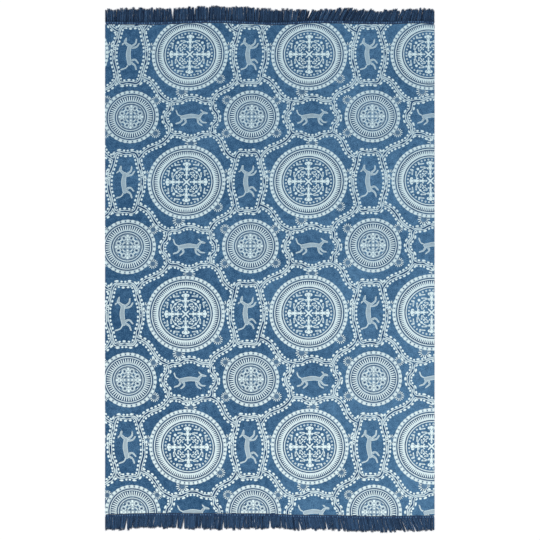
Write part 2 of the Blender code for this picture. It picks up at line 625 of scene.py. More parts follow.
BOTTOM_END = RugEnd(
    "bottom",
    Side.BOTTOM,
    edge=(Station(0.0, 0.0), Station(0.15, -0.0045), Station(0.48, -0.003), Station(0.60, 0.0025),
          Station(0.70, 0.003), Station(0.80, 0.0068), Station(1.0, 0.0042)),
    reach=(Station(0.0, 0.045), Station(0.16, 0.042), Station(0.35, 0.046), Station(0.50, 0.042),
           Station(0.62, 0.041), Station(0.80, 0.044), Station(0.93, 0.042), Station(1.0, 0.044)),
    lean=(Station(0.0, 0.0), Station(0.07, -0.12), Station(0.35, -0.05), Station(0.50, 0.02),
          Station(0.62, 0.22), Station(0.80, 0.18), Station(0.93, 0.42), Station(1.0, 0.0)),
    partings=(Station(0.067, 0.0045), Station(0.152, 0.0035), Station(0.240, 0.0080),
              Station(0.361, 0.0045), Station(0.435, 0.0035), Station(0.498, 0.0050),
              Station(0.590, 0.0040), Station(0.670, 0.0035), Station(0.807, 0.0025),
              Station(0.898, 0.0045), Station(0.930, 0.0060)),
    yarn_tone=0.36,
    seed=23,
)


# ---------------------------------------------------------------------------------------------
# Shader graphs
# ---------------------------------------------------------------------------------------------


@dataclass(frozen=True)
class Term:
    """A number or vector in a shader graph. Arithmetic on it adds Math nodes."""

    graph: "Graph"
    socket: bpy.types.NodeSocket

    def __add__(self, other: "Number") -> "Term":
        """Sum of the two."""
        return self.graph.math("ADD", self, other)

    def __radd__(self, other: float) -> "Term":
        """Sum of the two."""
        return self.graph.math("ADD", other, self)

    def __sub__(self, other: "Number") -> "Term":
        """This less the other."""
        return self.graph.math("SUBTRACT", self, other)

    def __rsub__(self, other: float) -> "Term":
        """The other less this."""
        return self.graph.math("SUBTRACT", other, self)

    def __mul__(self, other: "Number") -> "Term":
        """Product of the two."""
        return self.graph.math("MULTIPLY", self, other)

    def __rmul__(self, other: float) -> "Term":
        """Product of the two."""
        return self.graph.math("MULTIPLY", other, self)

    def __truediv__(self, other: "Number") -> "Term":
        """This divided by the other."""
        return self.graph.math("DIVIDE", self, other)


Number = Term | float


class Graph:
    """A node tree that is filled in the order of its sums."""

    def __init__(self, tree: bpy.types.NodeTree) -> None:
        """Start on an empty tree."""
        self.tree = tree
        tree.nodes.clear()

    def add(self, kind: str, **settings: object) -> bpy.types.Node:
        """Add a node and lay it out after the last one.

        Args:
            kind: Blender's name of the node type.
            **settings: Properties of the node to set.

        Returns:
            The new node.
        """
        node = self.tree.nodes.new(kind)
        count = len(self.tree.nodes) - 1
        node.location = (200 * (count // 8), -180 * (count % 8))
        for name, value in settings.items():
            setattr(node, name, value)
        return node

    def feed(self, socket: bpy.types.NodeSocket, value: object) -> None:
        """Link a term to an input socket, or set the socket's own value.

        Args:
            socket: Input socket of a node.
            value: Term to link, or the value to set.
        """
        if isinstance(value, Term):
            self.tree.links.new(value.socket, socket)
        else:
            socket.default_value = value

    def math(self, operation: str, *terms: Number, clamp: bool = False) -> Term:
        """Add a Math node.

        Args:
            operation: Blender's name of the sum.
            *terms: What goes in.
            clamp: Whether the result is held between 0 and 1.

        Returns:
            The result.
        """
        node = self.add("ShaderNodeMath", operation=operation, use_clamp=clamp)
        for socket, term in zip(node.inputs, terms):
            self.feed(socket, term)
        return Term(self, node.outputs[0])

    def vector(self, operation: str, *terms: object) -> Term:
        """Add a Vector Math node.

        Args:
            operation: Blender's name of the sum.
            *terms: What goes in, a vector each, and last a number where it takes one.

        Returns:
            The result, a number for a length, distance or dot product.
        """
        node = self.add("ShaderNodeVectorMath", operation=operation)
        for place, term in enumerate(terms):
            scale = operation == "SCALE" and place == 1
            self.feed(node.inputs["Scale"] if scale else node.inputs[place], term)
        number = operation in ("LENGTH", "DISTANCE", "DOT_PRODUCT")
        return Term(self, node.outputs["Value"] if number else node.outputs["Vector"])

    def split(self, vector: Term) -> tuple[Term, Term, Term]:
        """Take a vector or colour apart into its three numbers.

        Args:
            vector: Vector or colour.

        Returns:
            The three numbers.
        """
        node = self.add("ShaderNodeSeparateXYZ")
        self.feed(node.inputs[0], vector)
        return tuple(Term(self, socket) for socket in node.outputs)

    def join(self, x: Number, y: Number, z: Number = 0.0) -> Term:
        """Put three numbers together as a vector.

        Args:
            x: First number.
            y: Second number.
            z: Third number.

        Returns:
            The vector.
        """
        node = self.add("ShaderNodeCombineXYZ")
        for socket, term in zip(node.inputs, (x, y, z)):
            self.feed(socket, term)
        return Term(self, node.outputs[0])

    def attribute(self, name: str, number: bool = False) -> Term:
        """Read an attribute of the mesh, as a vector or as one number."""
        node = self.add("ShaderNodeAttribute", attribute_name=name)
        return Term(self, node.outputs["Fac" if number else "Vector"])

    def place(self) -> Term:
        """Object coordinates."""
        return Term(self, self.add("ShaderNodeTexCoord").outputs["Object"])

    def noise(self, vector: Term, scale: float, detail: float = 2.0, rough: float = 0.5,
              colour: bool = False) -> Term:
        """Add a noise texture.

        Args:
            vector: Where the noise is read.
            scale: Blobs to a unit of that vector.
            detail: How many finer layers are added.
            rough: Strength of each finer layer.
            colour: Whether three noises are wanted, as a colour.

        Returns:
            The noise, around 0.5.
        """
        node = self.add("ShaderNodeTexNoise", noise_dimensions="3D")
        self.feed(node.inputs["Vector"], vector)
        node.inputs["Scale"].default_value = scale
        node.inputs["Detail"].default_value = detail
        node.inputs["Roughness"].default_value = rough
        return Term(self, node.outputs["Color" if colour else "Fac"])

    def blend(self, share: Number, low: object, high: object) -> Term:
        """Mix two colours by a share.

        Args:
            share: 0 for the first colour, 1 for the second.
            low: First colour.
            high: Second colour.

        Returns:
            The mixed colour.
        """
        node = self.add("ShaderNodeMix", data_type="RGBA")
        self.feed(node.inputs["Factor"], share)
        low_socket, high_socket = (socket for socket in node.inputs if socket.type == "RGBA")
        self.feed(low_socket, low)
        self.feed(high_socket, high)
        return Term(self, next(socket for socket in node.outputs if socket.type == "RGBA"))

    def between(self, share: Term, low: float, high: float) -> Term:
        """Spread a share between two plain numbers."""
        return self.math("MULTIPLY_ADD", share, high - low, low)

    def stretch(self, value: Term, low: float, high: float) -> Term:
        """Bring low to 0 and high to 1, with smooth ends, and hold the rest between them.

        Args:
            value: Number to spread.
            low: Value that becomes 0.
            high: Value that becomes 1.

        Returns:
            The number from 0 to 1.
        """
        node = self.add("ShaderNodeMapRange", interpolation_type="SMOOTHSTEP", clamp=True)
        self.feed(node.inputs["Value"], value)
        node.inputs["From Min"].default_value = low
        node.inputs["From Max"].default_value = high
        return Term(self, node.outputs["Result"])

    def inside(self, distance: Term, limit: Number, soft: float = EDGE_SOFT) -> Term:
        """Mask of the places whose distance is under the limit.

        The mask falls from 1 to 0 over the soft width, half of it on each side of the limit.

        Args:
            distance: Distance from the shape's middle.
            limit: Distance of its edge.
            soft: Width of the fall.

        Returns:
            The mask.
        """
        if isinstance(limit, Term):
            return self.math("MULTIPLY_ADD", limit - distance, 1 / soft, 0.5, clamp=True)
        return self.math("MULTIPLY_ADD", distance, -1 / soft, limit / soft + 0.5, clamp=True)


class ShaderGroup:
    """A node group with named inputs and outputs, built once and shared by the finishes."""

    name: str = ""
    numbers: tuple[tuple[str, float], ...] = ()
    results: tuple[str, ...] = ()

    def tree(self) -> bpy.types.NodeTree:
        """Find the group's tree, or make its sockets and fill it.

        Returns:
            The group's node tree.
        """
        found = bpy.data.node_groups.get(self.name)
        if found:
            return found
        tree = bpy.data.node_groups.new(self.name, "ShaderNodeTree")
        tree.interface.new_socket("Vector", in_out="INPUT", socket_type="NodeSocketVector")
        for label, value in self.numbers:
            socket = tree.interface.new_socket(label, in_out="INPUT", socket_type="NodeSocketFloat")
            socket.default_value = value
        for label in self.results:
            tree.interface.new_socket(label, in_out="OUTPUT", socket_type="NodeSocketFloat")
        graph = Graph(tree)
        entry = graph.add("NodeGroupInput")
        made = self.fill(graph, {s.name: Term(graph, s) for s in entry.outputs if s.name})
        leave = graph.add("NodeGroupOutput")
        for label in self.results:
            graph.feed(leave.inputs[label], made[label])
        return tree

    def fill(self, graph: Graph, given: dict[str, Term]) -> dict[str, Term]:
        """Make the group's nodes from its inputs by name, and give its results by name."""
        raise NotImplementedError

    def use(self, graph: Graph, vector: Term, **values: float) -> dict[str, Term]:
        """Place the group in a material.

        Args:
            graph: Graph of the material.
            vector: Where the effect is read.
            **values: Inputs that differ from the group's own values.

        Returns:
            The group's results by name.
        """
        node = graph.add("ShaderNodeGroup", node_tree=self.tree())
        graph.feed(node.inputs["Vector"], vector)
        for label, value in values.items():
            graph.feed(node.inputs[label], value)
        return {label: Term(graph, node.outputs[label]) for label in self.results}


class PlainWeave(ShaderGroup):
    """Relief of a plain weave whose weft yarns run across the rug and stand proud in ribs.

    Each weft yarn is a half sine wave along Y. Every other yarn passes over the warp where its
    neighbour passes under, which a cosine along X gives, shifted by half a wave on odd yarns.
    The second result marks the hollows between the ribs, where the finishes paint shade into
    the colour.
    """

    name = "plain_weave"
    numbers = (("Weft", 0.0021), ("Warp", 0.0026), ("Slub", 0.35))
    results = ("Height", "HollowShade")

    def fill(self, graph: Graph, given: dict[str, Term]) -> dict[str, Term]:
        """Make the ribs, their crossings, the slubs in the yarn and a mask of the hollows for painted shade.

        Args:
            graph: Graph of the group.
            given: The group's inputs by name.

        Returns:
            The group's results by name.
        """
        x, y, _ = graph.split(given["Vector"])
        row = y / given["Weft"]
        odd = graph.math("FLOOR", row) * pi
        rib = graph.math("ABSOLUTE", graph.math("SINE", row * pi))
        over = graph.math("COSINE", x / given["Warp"] * pi + odd)
        slub = graph.noise(graph.vector("MULTIPLY", given["Vector"], (60, 420, 60)), 1.0, 1.0)
        body = rib * graph.math("MULTIPLY_ADD", over, 0.22, 0.62)
        height = body + (slub - 0.5) * given["Slub"]
        # Painted shade: 1 deep between the ribs, 0 on their tops.
        hollow_shade = graph.math("MULTIPLY_ADD", body, -2.2, 1.0, clamp=True)
        return {"Height": height, "HollowShade": hollow_shade}


class DyeMottle(ShaderGroup):
    """Uneven dye: wide clouds, patches of about 16 mm and a fine grain, as one value around zero."""

    name = "dye_mottle"
    numbers = (("Clouds", 0.5), ("Patches", 0.5), ("Grain", 0.3))
    results = ("Tone",)

    def fill(self, graph: Graph, given: dict[str, Term]) -> dict[str, Term]:
        """Add three noises of falling size, each times its strength.

        Args:
            graph: Graph of the group.
            given: The group's inputs by name.

        Returns:
            The group's results by name.
        """
        clouds = graph.noise(given["Vector"], 5.0, 1.0) - 0.5
        tone = clouds * given["Clouds"]
        patches = graph.noise(given["Vector"], 62.0, 2.0) - 0.5
        tone = tone + patches * given["Patches"]
        grain = graph.noise(given["Vector"], 330.0, 1.0) - 0.5
        return {"Tone": tone + grain * given["Grain"]}


# ---------------------------------------------------------------------------------------------
# Finishes
# ---------------------------------------------------------------------------------------------


def dye(red: float, green: float, blue: float) -> Colour:
    """Turn a screen colour of 0 to 255 into the linear colour that a shader works in.

    Args:
        red: Red on the screen.
        green: Green on the screen.
        blue: Blue on the screen.

    Returns:
        Red, green, blue and a full alpha.
    """
    parts = np.array((red, green, blue)) / 255
    linear = np.where(parts <= 0.04045, parts / 12.92, ((parts + 0.055) / 1.055) ** 2.4)
    return tuple(float(part) for part in linear) + (1.0,)


def start_material(name: str) -> tuple[bpy.types.Material, Graph]:
    """Make an empty node material and the graph that fills it.

    Args:
        name: Name of the material.

    Returns:
        The material and its graph.
    """
    material = bpy.data.materials.new(name)
    material.use_nodes = True
    return material, Graph(material.node_tree)


def end_material(graph: Graph, colour: Term, rough: Number, normal: Term | None,
                 sheen: float = 0.0, specular: float = 0.3) -> None:
    """Finish a material with one Principled shader.

    Args:
        graph: Graph of the material.
        colour: Base colour.
        rough: Roughness.
        normal: Normal from a bump, if there is one.
        sheen: Strength of the fibre sheen.
        specular: Specular level.
    """
    shader = graph.add("ShaderNodeBsdfPrincipled")
    graph.feed(shader.inputs["Base Color"], colour)
    graph.feed(shader.inputs["Roughness"], rough)
    shader.inputs["Metallic"].default_value = 0.0
    shader.inputs["Specular IOR Level"].default_value = specular
    shader.inputs["Sheen Weight"].default_value = sheen
    shader.inputs["Sheen Roughness"].default_value = 0.6
    if normal is not None:
        graph.feed(shader.inputs["Normal"], normal)
    output = graph.add("ShaderNodeOutputMaterial")
    graph.tree.links.new(shader.outputs[0], output.inputs["Surface"])


def bumped(graph: Graph, height: Term, distance: float, strength: float) -> Term:
    """Normal of a surface raised by the height.

    Args:
        graph: Graph of the material.
        height: Height from 0 to about 1.
        distance: What a height of 1 measures, in metres.
        strength: Share of the relief that shows.

    Returns:
        The normal.
    """
    node = graph.add("ShaderNodeBump")
    node.inputs["Strength"].default_value = strength
    node.inputs["Distance"].default_value = distance
    graph.feed(node.inputs["Height"], height)
    return Term(graph, node.outputs["Normal"])


@dataclass(frozen=True)
class BandInk:
    """Half of the beaded band, in mm from its middle line, and how pale its parts are.

    Each line lies between the two distances of line, nearer in where the core is closed.
    """

    pitch: float = 15.0
    core_half: float = 1.9
    core_ink: float = 0.40
    line: Pair = (3.4, 4.6)
    line_half: float = 1.35
    line_ink: float = 0.9
    gap: float = 7.0
    gap_half: float = 0.7
    bead: float = 10.4
    bead_size: Pair = (4.5, 3.3)


@dataclass(frozen=True)
class PrintedCotton:
    """The face of the cloth: indigo ground and a pale print of roundels, bands and animals.

    A pair of numbers is for a large roundel and for a small one, and its sizes are in mm.
    """

    name: str = "printed_cotton"
    ground_dark: Colour = dye(34, 72, 107)
    ground_light: Colour = dye(94, 138, 174)
    reserve: Colour = dye(10, 48, 90)
    print_top: Colour = dye(211, 233, 236)
    print_bottom: Colour = dye(233, 250, 249)
    wobble: float = 1.5
    petals: int = 14
    deep: float = -2.3
    beads: tuple[int, int] = (52, 34)
    ribs: tuple[int, int] = (100, 56)
    bead_edge: Pair = (136.2, 98.2)
    bead_middle: Pair = (131.0, 93.6)
    bead_spot: Pair = (129.4, 92.4)
    clear_from: Pair = (136.6, 98.6)
    band: BandInk = BandInk()
    stroke_body: float = 0.42
    stroke_rim: float = 0.86
    least_cover: float = 0.78
    top_cover: float = 0.88
    mean_tone: float = 0.33
    paler_right: float = 0.27
    paler_down: float = -0.06
    paler_corner: float = -0.10
    print_end: float = 0.85

    def build(self) -> bpy.types.Material:
        """Make the material.

        Returns:
            The finished material.
        """
        material, graph = start_material(self.name)
        place = graph.place()
        shake = graph.noise(place, 210.0, 1.0, colour=True)
        shake = graph.vector("SCALE", graph.vector("SUBTRACT", shake, (0.5, 0.5, 0.5)), self.wobble)
        ink = self.over(graph, self.roundels(graph, shake), self.bands(graph, shake))
        ink = self.over(graph, ink, self.animals(graph, shake))
        x, y, _ = graph.split(place)
        print_shown = self.print_share(graph, place, y)
        ground = self.ground(graph, place, x, y)
        deep = graph.math("MULTIPLY", ink, self.deep, clamp=True)
        ground = graph.blend(deep, ground, self.reserve)
        ink = graph.math("MULTIPLY", ink, print_shown, clamp=True)
        down = graph.stretch(y, self.print_end, -self.print_end)
        paste = graph.blend(down, self.print_top, self.print_bottom)
        colour = graph.blend(ink, ground, paste)
        weave = PlainWeave().use(graph, place)
        # Painted shade: the colour is darkened in the weave's hollows and lifted a little on its ribs.
        shaded = graph.math("MULTIPLY_ADD", weave["HollowShade"], -0.16, 1.04)
        colour = graph.vector("SCALE", colour, shaded)
        normal = bumped(graph, weave["Height"], WEAVE_RELIEF, WEAVE_STRENGTH)
        rough = graph.between(ink, 0.92, 0.80)
        end_material(graph, colour, rough, normal, sheen=0.02, specular=0.12)
        return material

    def over(self, graph: Graph, lower: Term, upper: Term) -> Term:
        """Lay one layer of print on another, so that pale print covers a reserved line.

        The result is the paler of the two. Where neither is pale, what the deeper one has below
        zero is added to it, so that a reserved line shows.

        Args:
            graph: Graph of the material.
            lower: Layer underneath.
            upper: Layer on top.

        Returns:
            Both layers as one.
        """
        pale = graph.math("MAXIMUM", lower, upper)
        deep = graph.math("MINIMUM", lower, upper)
        bare = graph.math("LESS_THAN", pale, 0.001)
        return pale + graph.math("MINIMUM", deep, 0.0) * bare

    def roundels(self, graph: Graph, shake: Term) -> Term:
        """Print of the nearest roundel, with its rosettes.

        Args:
            graph: Graph of the material.
            shake: Small shift of the print's edges, in mm.

        Returns:
            Mask of the pale print.
        """
        local = graph.attribute("roundel")
        across, up, kind = graph.split(local)
        flat = graph.vector("ADD", graph.join(across, up), shake)
        across, up, _ = graph.split(flat)
        flat = graph.join(across, up)
        radius = graph.vector("LENGTH", flat)
        turn = graph.math("ARCTAN2", up, across)
        solid, ribs, beads = self.rings(graph, radius, kind)
        count = graph.between(kind, *self.ribs)
        wave = graph.math("COSINE", turn * count)
        teeth = graph.math("MAXIMUM", graph.math("MINIMUM", ribs * 2.0 - 0.5 + wave * 1.3, 1.0), DEEPEST)
        ink = solid + teeth * graph.math("MULTIPLY", ribs, 9.0, clamp=True)
        count = graph.between(kind, *self.beads)
        wave = graph.math("COSINE", turn * count)
        ink = ink + self.bead_ring(graph, radius, kind, beads, wave)
        along = graph.math("MAXIMUM", graph.math("ABSOLUTE", across), graph.math("ABSOLUTE", up))
        beside = graph.math("MINIMUM", graph.math("ABSOLUTE", across), graph.math("ABSOLUTE", up))
        folded = graph.join(along, beside)
        flower = self.drawn(graph, folded, along, beside, FLOWER, 0.0)
        ink = ink + flower * (1.0 - kind)
        disc = graph.inside(radius, LACE_DISC) * LACE_GROUND
        lace = self.drawn(graph, folded, along, beside, LACE, disc)
        ink = ink + lace * kind
        outside = graph.math("SUBTRACT", radius, graph.between(kind, *self.clear_from), clamp=True)
        return ink + self.rosette(graph) * outside

    def rings(self, graph: Graph, radius: Term, kind: Term) -> tuple[Term, Term, Term]:
        """Read how much solid, ribbed and beaded print the radius has, for either kind of roundel.

        Args:
            graph: Graph of the material.
            radius: Distance from the centre, in mm.
            kind: 0 for a large roundel and 1 for a small one.

        Returns:
            Solid, ribbed and beaded shares.
        """
        share = graph.math("MULTIPLY", radius, 1 / RING_SPAN, clamp=True)
        colours = [self.ring_ramp(graph, share, stops) for stops in (LARGE_RINGS, SMALL_RINGS)]
        solid, ribs, beads = graph.split(graph.blend(kind, colours[0], colours[1]))
        return graph.between(solid, DEEPEST, 1.0), ribs, beads

    def ring_ramp(self, graph: Graph, share: Term, stops: tuple[RingStop, ...]) -> Term:
        """Turn a table of rings into a colour ramp over the radius.

        The ramp holds no number below zero, so solid is kept as a share from DEEPEST to 1.

        Args:
            graph: Graph of the material.
            share: Radius as a share of the ramp.
            stops: Rings from the centre out.

        Returns:
            Solid, ribbed and beaded shares as a colour.
        """
        ramp = graph.add("ShaderNodeValToRGB")
        graph.feed(ramp.inputs[0], share)
        elements = ramp.color_ramp.elements
        plain = -DEEPEST / (1 - DEEPEST)
        before = (plain, 0.0, 0.0, 1.0)
        elements[0].color = before
        for stop in stops[1:]:
            solid = plain + stop.solid / (1 - DEEPEST)
            after = (solid, stop.ribs, stop.beads, 1.0)
            for offset, colour in ((-RING_SOFT / 2, before), (RING_SOFT / 2, after)):
                element = elements.new((stop.radius + offset) / RING_SPAN)
                element.color = colour
            before = (solid, stop.thin, stop.beads, 1.0)
        elements.remove(elements[len(elements) - 1])
        return Term(graph, ramp.outputs["Color"])

    def bead_ring(self, graph: Graph, radius: Term, kind: Term, beads: Term, wave: Term) -> Term:
        """Scalloped outer ring with a dark spot between each pair of beads.

        The outer edge stands further out where the wave is low, and a spot is dark where the
        wave is near its top and the radius near the ring's middle.

        Args:
            graph: Graph of the material.
            radius: Distance from the centre, in mm.
            kind: 0 for a large roundel and 1 for a small one.
            beads: Share of beaded print at this radius.
            wave: Wave around the ring, one to a bead.

        Returns:
            Mask of the pale print.
        """
        outer = graph.between(kind, *self.bead_edge) - wave * 0.8
        lobes = beads * graph.inside(radius, outer)
        away = graph.math("ABSOLUTE", radius - graph.between(kind, *self.bead_middle))
        near = graph.inside(away, 4.6, 2.0)
        bright = near * graph.math("MULTIPLY_ADD", wave, -0.9, 0.7, clamp=True)
        lobes = lobes * graph.math("MULTIPLY_ADD", bright, 0.38, 0.58)
        away = graph.math("ABSOLUTE", radius - graph.between(kind, *self.bead_spot))
        spot = graph.inside(away, 2.4, 1.4) * graph.math("MULTIPLY_ADD", wave, 5.0, -3.4, clamp=True)
        return lobes * graph.math("MULTIPLY_ADD", spot, -1.25, 1.0)

    def drawn(self, graph: Graph, point: Term, along: Term, beside: Term,
              shapes: tuple[Shape, ...], ink: Number) -> Term:
        """Draw shapes over each other in turn, pale ones added and dark ones cut out.

        Args:
            graph: Graph of the material.
            point: Place in the folded eighth of the roundel, in mm.
            along: First coordinate of that place.
            beside: Second coordinate of that place.
            shapes: What to draw.
            ink: Mask to start from.

        Returns:
            The mask with all shapes drawn.
        """
        for shape in shapes:
            if isinstance(shape, Dot):
                away = graph.vector("DISTANCE", point, (*shape.centre, 0.0))
                mask = graph.inside(away, shape.radius)
            elif isinstance(shape, Stem):
                mask = self.stem(graph, point, shape)
            else:
                away = graph.vector("DISTANCE", point, (*shape.centre, 0.0)) - shape.radius
                mask = graph.inside(graph.math("ABSOLUTE", away), shape.half)
                mask = mask * graph.math("SUBTRACT", along, shape.past[0], clamp=True)
                mask = mask * graph.math("SUBTRACT", beside, shape.past[1], clamp=True)
            if shape.ink is Ink.PALE:
                ink = graph.math("MAXIMUM", ink, mask)
            else:
                ink = graph.math("MINIMUM", ink, graph.math("MULTIPLY_ADD", mask, DEEPEST - 1, 1.0))
        return ink

    def stem(self, graph: Graph, point: Term, shape: Stem) -> Term:
        """Mask of a straight line with round ends.

        The place is set against the nearest point of the line: its run along the line, held
        between the two ends, gives that point, and the distance to it is the distance sought.

        Args:
            graph: Graph of the material.
            point: Place in mm.
            shape: The line.

        Returns:
            The mask.
        """
        start, end = Vector((*shape.start, 0.0)), Vector((*shape.end, 0.0))
        line = end - start
        reach = graph.vector("SUBTRACT", point, tuple(start))
        run = graph.vector("DOT_PRODUCT", reach, tuple(line / line.length_squared))
        run = graph.math("MULTIPLY", run, 1.0, clamp=True)
        foot = graph.vector("MULTIPLY", graph.join(run, run), tuple(line))
        away = graph.vector("DISTANCE", reach, foot)
        if shape.end_half is None:
            return graph.inside(away, shape.half)
        half = graph.math("MULTIPLY_ADD", run, shape.end_half - shape.half, shape.half)
        return graph.inside(away, half)

    def rosette(self, graph: Graph) -> Term:
        """Small flower on a unit circle: petals with deep gaps between them, and a faint heart.

        Args:
            graph: Graph of the material.

        Returns:
            Mask of the pale print.
        """
        across, up, _ = graph.split(graph.attribute("rosette"))
        radius = graph.vector("LENGTH", graph.join(across, up))
        turn = graph.math("ARCTAN2", up, across)
        wave = graph.math("COSINE", turn * self.petals)
        petals = graph.inside(radius, graph.math("MULTIPLY_ADD", wave, 0.12, 0.96), 0.06)
        gaps = graph.math("MULTIPLY_ADD", radius, -2.2, 1.8)
        petals = petals * graph.math("MAXIMUM", graph.math("MINIMUM", wave * 2.0 + gaps, 1.0), DEEPEST)
        petals = petals * graph.inside(radius, 0.52, 0.06) * -1.0 + petals
        return petals + graph.inside(radius, 0.50, 0.08) * 0.07

    def bands(self, graph: Graph, shake: Term) -> Term:
        """Beaded bands: two pale lines, and beyond a thin dark gap a row of beads on each side.

        The core between the lines is half pale in some places and reserved in others.

        Args:
            graph: Graph of the material.
            shake: Small shift of the print's edges, in mm.

        Returns:
            Mask of the pale print.
        """
        run, away, _ = graph.split(graph.vector("ADD", graph.attribute("band"), shake))
        band = self.band
        run = run + graph.math("SIGN", away) * (band.pitch / 4)
        away = graph.math("ABSOLUTE", away)
        open_core = graph.stretch(graph.noise(graph.place(), 42.0, 1.0), 0.42, 0.60)
        line = graph.between(open_core, *band.line)
        line = graph.inside(graph.math("ABSOLUTE", away - line), band.line_half) * band.line_ink
        filling = graph.inside(away, band.core_half) * graph.between(open_core, band.core_ink, DEEPEST)
        gap = graph.inside(graph.math("ABSOLUTE", away - band.gap), band.gap_half) * DEEPEST
        core = line + filling
        step = graph.math("PINGPONG", run, band.pitch / 2) / band.bead_size[0]
        off = (away - band.bead) / band.bead_size[1]
        bead = graph.vector("LENGTH", graph.join(step, off))
        return self.over(graph, graph.math("MAXIMUM", core, graph.inside(bead, 1.04, 0.3)), core + gap)

    def animals(self, graph: Graph, shake: Term) -> Term:
        """Brush strokes of the animals, fainter than the rest.

        Args:
            graph: Graph of the material.
            shake: Small shift of the print's edges, in mm.

        Returns:
            Mask of the pale print.
        """
        _, away, half = graph.split(graph.attribute("animal"))
        _, push, _ = graph.split(shake)
        away = graph.math("ABSOLUTE", away + push)
        body = graph.inside(away, half) * self.stroke_body
        outline = graph.inside(graph.math("ABSOLUTE", half - away - 1.0), 0.9, 1.0) * self.stroke_rim
        return graph.math("MAXIMUM", body, outline)

    def print_share(self, graph: Graph, place: Term, y: Term) -> Term:
        """Share of the print that shows: patchy, and fuller towards the bottom end.

        Args:
            graph: Graph of the material.
            place: Place on the cloth, in metres.
            y: Its second coordinate.

        Returns:
            Share of the print that shows.
        """
        patch = graph.noise(place, 70.0, 3.0, 0.6)
        speck = graph.noise(place, 520.0, 1.0)
        cover = graph.stretch(patch + (speck - 0.5) * 0.5, 0.22, 0.52)
        fuller = graph.stretch(y, 0.9, -0.9)
        base = graph.between(fuller, self.top_cover, 1.0)
        return base * graph.between(cover, self.least_cover, 1.0)

    def ground(self, graph: Graph, place: Term, x: Term, y: Term) -> Term:
        """Indigo ground, darker at the left and uneven all over.

        Args:
            graph: Graph of the material.
            place: Place on the cloth, in metres.
            x: Its first coordinate.
            y: Its second coordinate.

        Returns:
            Colour of the ground.
        """
        tone = DyeMottle().use(graph, place, Clouds=0.6, Patches=0.9, Grain=1.9)["Tone"]
        corner = graph.math("MULTIPLY_ADD", x * y, self.paler_corner, self.mean_tone)
        slope = graph.math("MULTIPLY_ADD", x, self.paler_right, corner) + y * self.paler_down
        share = graph.math("ADD", tone, slope, clamp=True)
        return graph.blend(share, self.ground_dark, self.ground_light)


@dataclass(frozen=True)
class PlainCotton:
    """The underside of the cloth: a paler, mottled ground dye with no print."""

    name: str = "cotton_underside"
    dark: Colour = dye(74, 104, 134)
    light: Colour = dye(112, 143, 170)

    def build(self) -> bpy.types.Material:
        """Make the material.

        Returns:
            The finished material.
        """
        material, graph = start_material(self.name)
        place = graph.place()
        tone = DyeMottle().use(graph, place, Clouds=0.9, Patches=0.9, Grain=0.8)["Tone"]
        colour = graph.blend(graph.math("ADD", tone, 0.5, clamp=True), self.dark, self.light)
        weave = PlainWeave().use(graph, place)
        # Painted shade: the underside's colour is darkened in the weave's hollows and lifted a little on its
        # ribs.
        colour = graph.vector("SCALE", colour, graph.math("MULTIPLY_ADD", weave["HollowShade"], -0.2, 1.05))
        normal = bumped(graph, weave["Height"], WEAVE_RELIEF, WEAVE_STRENGTH)
        end_material(graph, colour, 0.92, normal, sheen=0.1)
        return material


@dataclass(frozen=True)
class FringeYarn:
    """Dark navy cotton yarn with lighter single yarns among it."""

    name: str = "fringe_yarn"
    dark: Colour = dye(3, 15, 41)
    light: Colour = dye(74, 110, 150)
    twist: float = 2600.0

    def build(self) -> bpy.types.Material:
        """Make the material.

        Returns:
            The finished material.
        """
        material, graph = start_material(self.name)
        place = graph.place()
        # yarn_shade holds each yarn's own tone plus painted light and shade by its height in the heap.
        shade = graph.attribute("yarn_shade", number=True)
        tone = DyeMottle().use(graph, place, Clouds=0.2, Patches=0.3, Grain=0.5)["Tone"]
        share = graph.math("ADD", shade, tone * 0.6, clamp=True)
        colour = graph.blend(share, self.dark, self.light)
        run, side, _ = graph.split(graph.attribute("yarn_run"))
        twist = graph.math("SINE", run * self.twist + side * 2 * pi)
        normal = bumped(graph, twist, 0.0001, 0.5)
        end_material(graph, colour, 0.85, normal, sheen=0.02, specular=0.10)
        return material


@dataclass(frozen=True)
class TapeCotton:
    """The tape: dense navy yarn with lighter loops, and a dark sewn edge by the cloth.

    It reads its own UV map, which runs along the tape in metres and across it from about 0 to 1.
    """

    name: str = "tape_cotton"
    dark: Colour = dye(26, 43, 70)
    mid: Colour = dye(40, 62, 96)
    loop: Colour = dye(88, 124, 158)
    loop_pitch: float = 0.0089
    loop_half: Pair = (0.0022, 0.26)
    loop_middle: float = 0.45
    loop_drift: float = 0.004
    seam_width: float = 0.10
    ply: float = 5200.0

    def build(self) -> bpy.types.Material:
        """Make the material.

        Returns:
            The finished material.
        """
        material, graph = start_material(self.name)
        node = graph.add("ShaderNodeUVMap", uv_map="tape")
        run, across, _ = graph.split(Term(graph, node.outputs[0]))
        place = graph.place()
        tone = DyeMottle().use(graph, place, Clouds=0.2, Patches=0.6, Grain=1.4)["Tone"]
        colour = graph.blend(graph.math("ADD", tone, 0.5, clamp=True), self.dark, self.mid)
        shift = graph.noise(place, 60.0, 1.0) * self.loop_drift
        step = graph.math("PINGPONG", run + shift, self.loop_pitch / 2) / self.loop_half[0]
        off = (across - self.loop_middle) / self.loop_half[1]
        shown = graph.stretch(graph.noise(place, 75.0, 2.0), 0.36, 0.56)
        loop = graph.inside(graph.vector("LENGTH", graph.join(step, off)), 0.9, 0.7) * shown
        colour = graph.blend(loop, colour, self.loop)
        seam = graph.inside(across, self.seam_width, self.seam_width)
        colour = graph.blend(seam * 0.7, colour, self.dark)
        ply = graph.math("SINE", run * self.ply + across * 9.0)
        height = ply * 0.3 + loop
        end_material(graph, colour, 0.88, bumped(graph, height, 0.0005, 0.7), sheen=0.02, specular=0.10)
        return material


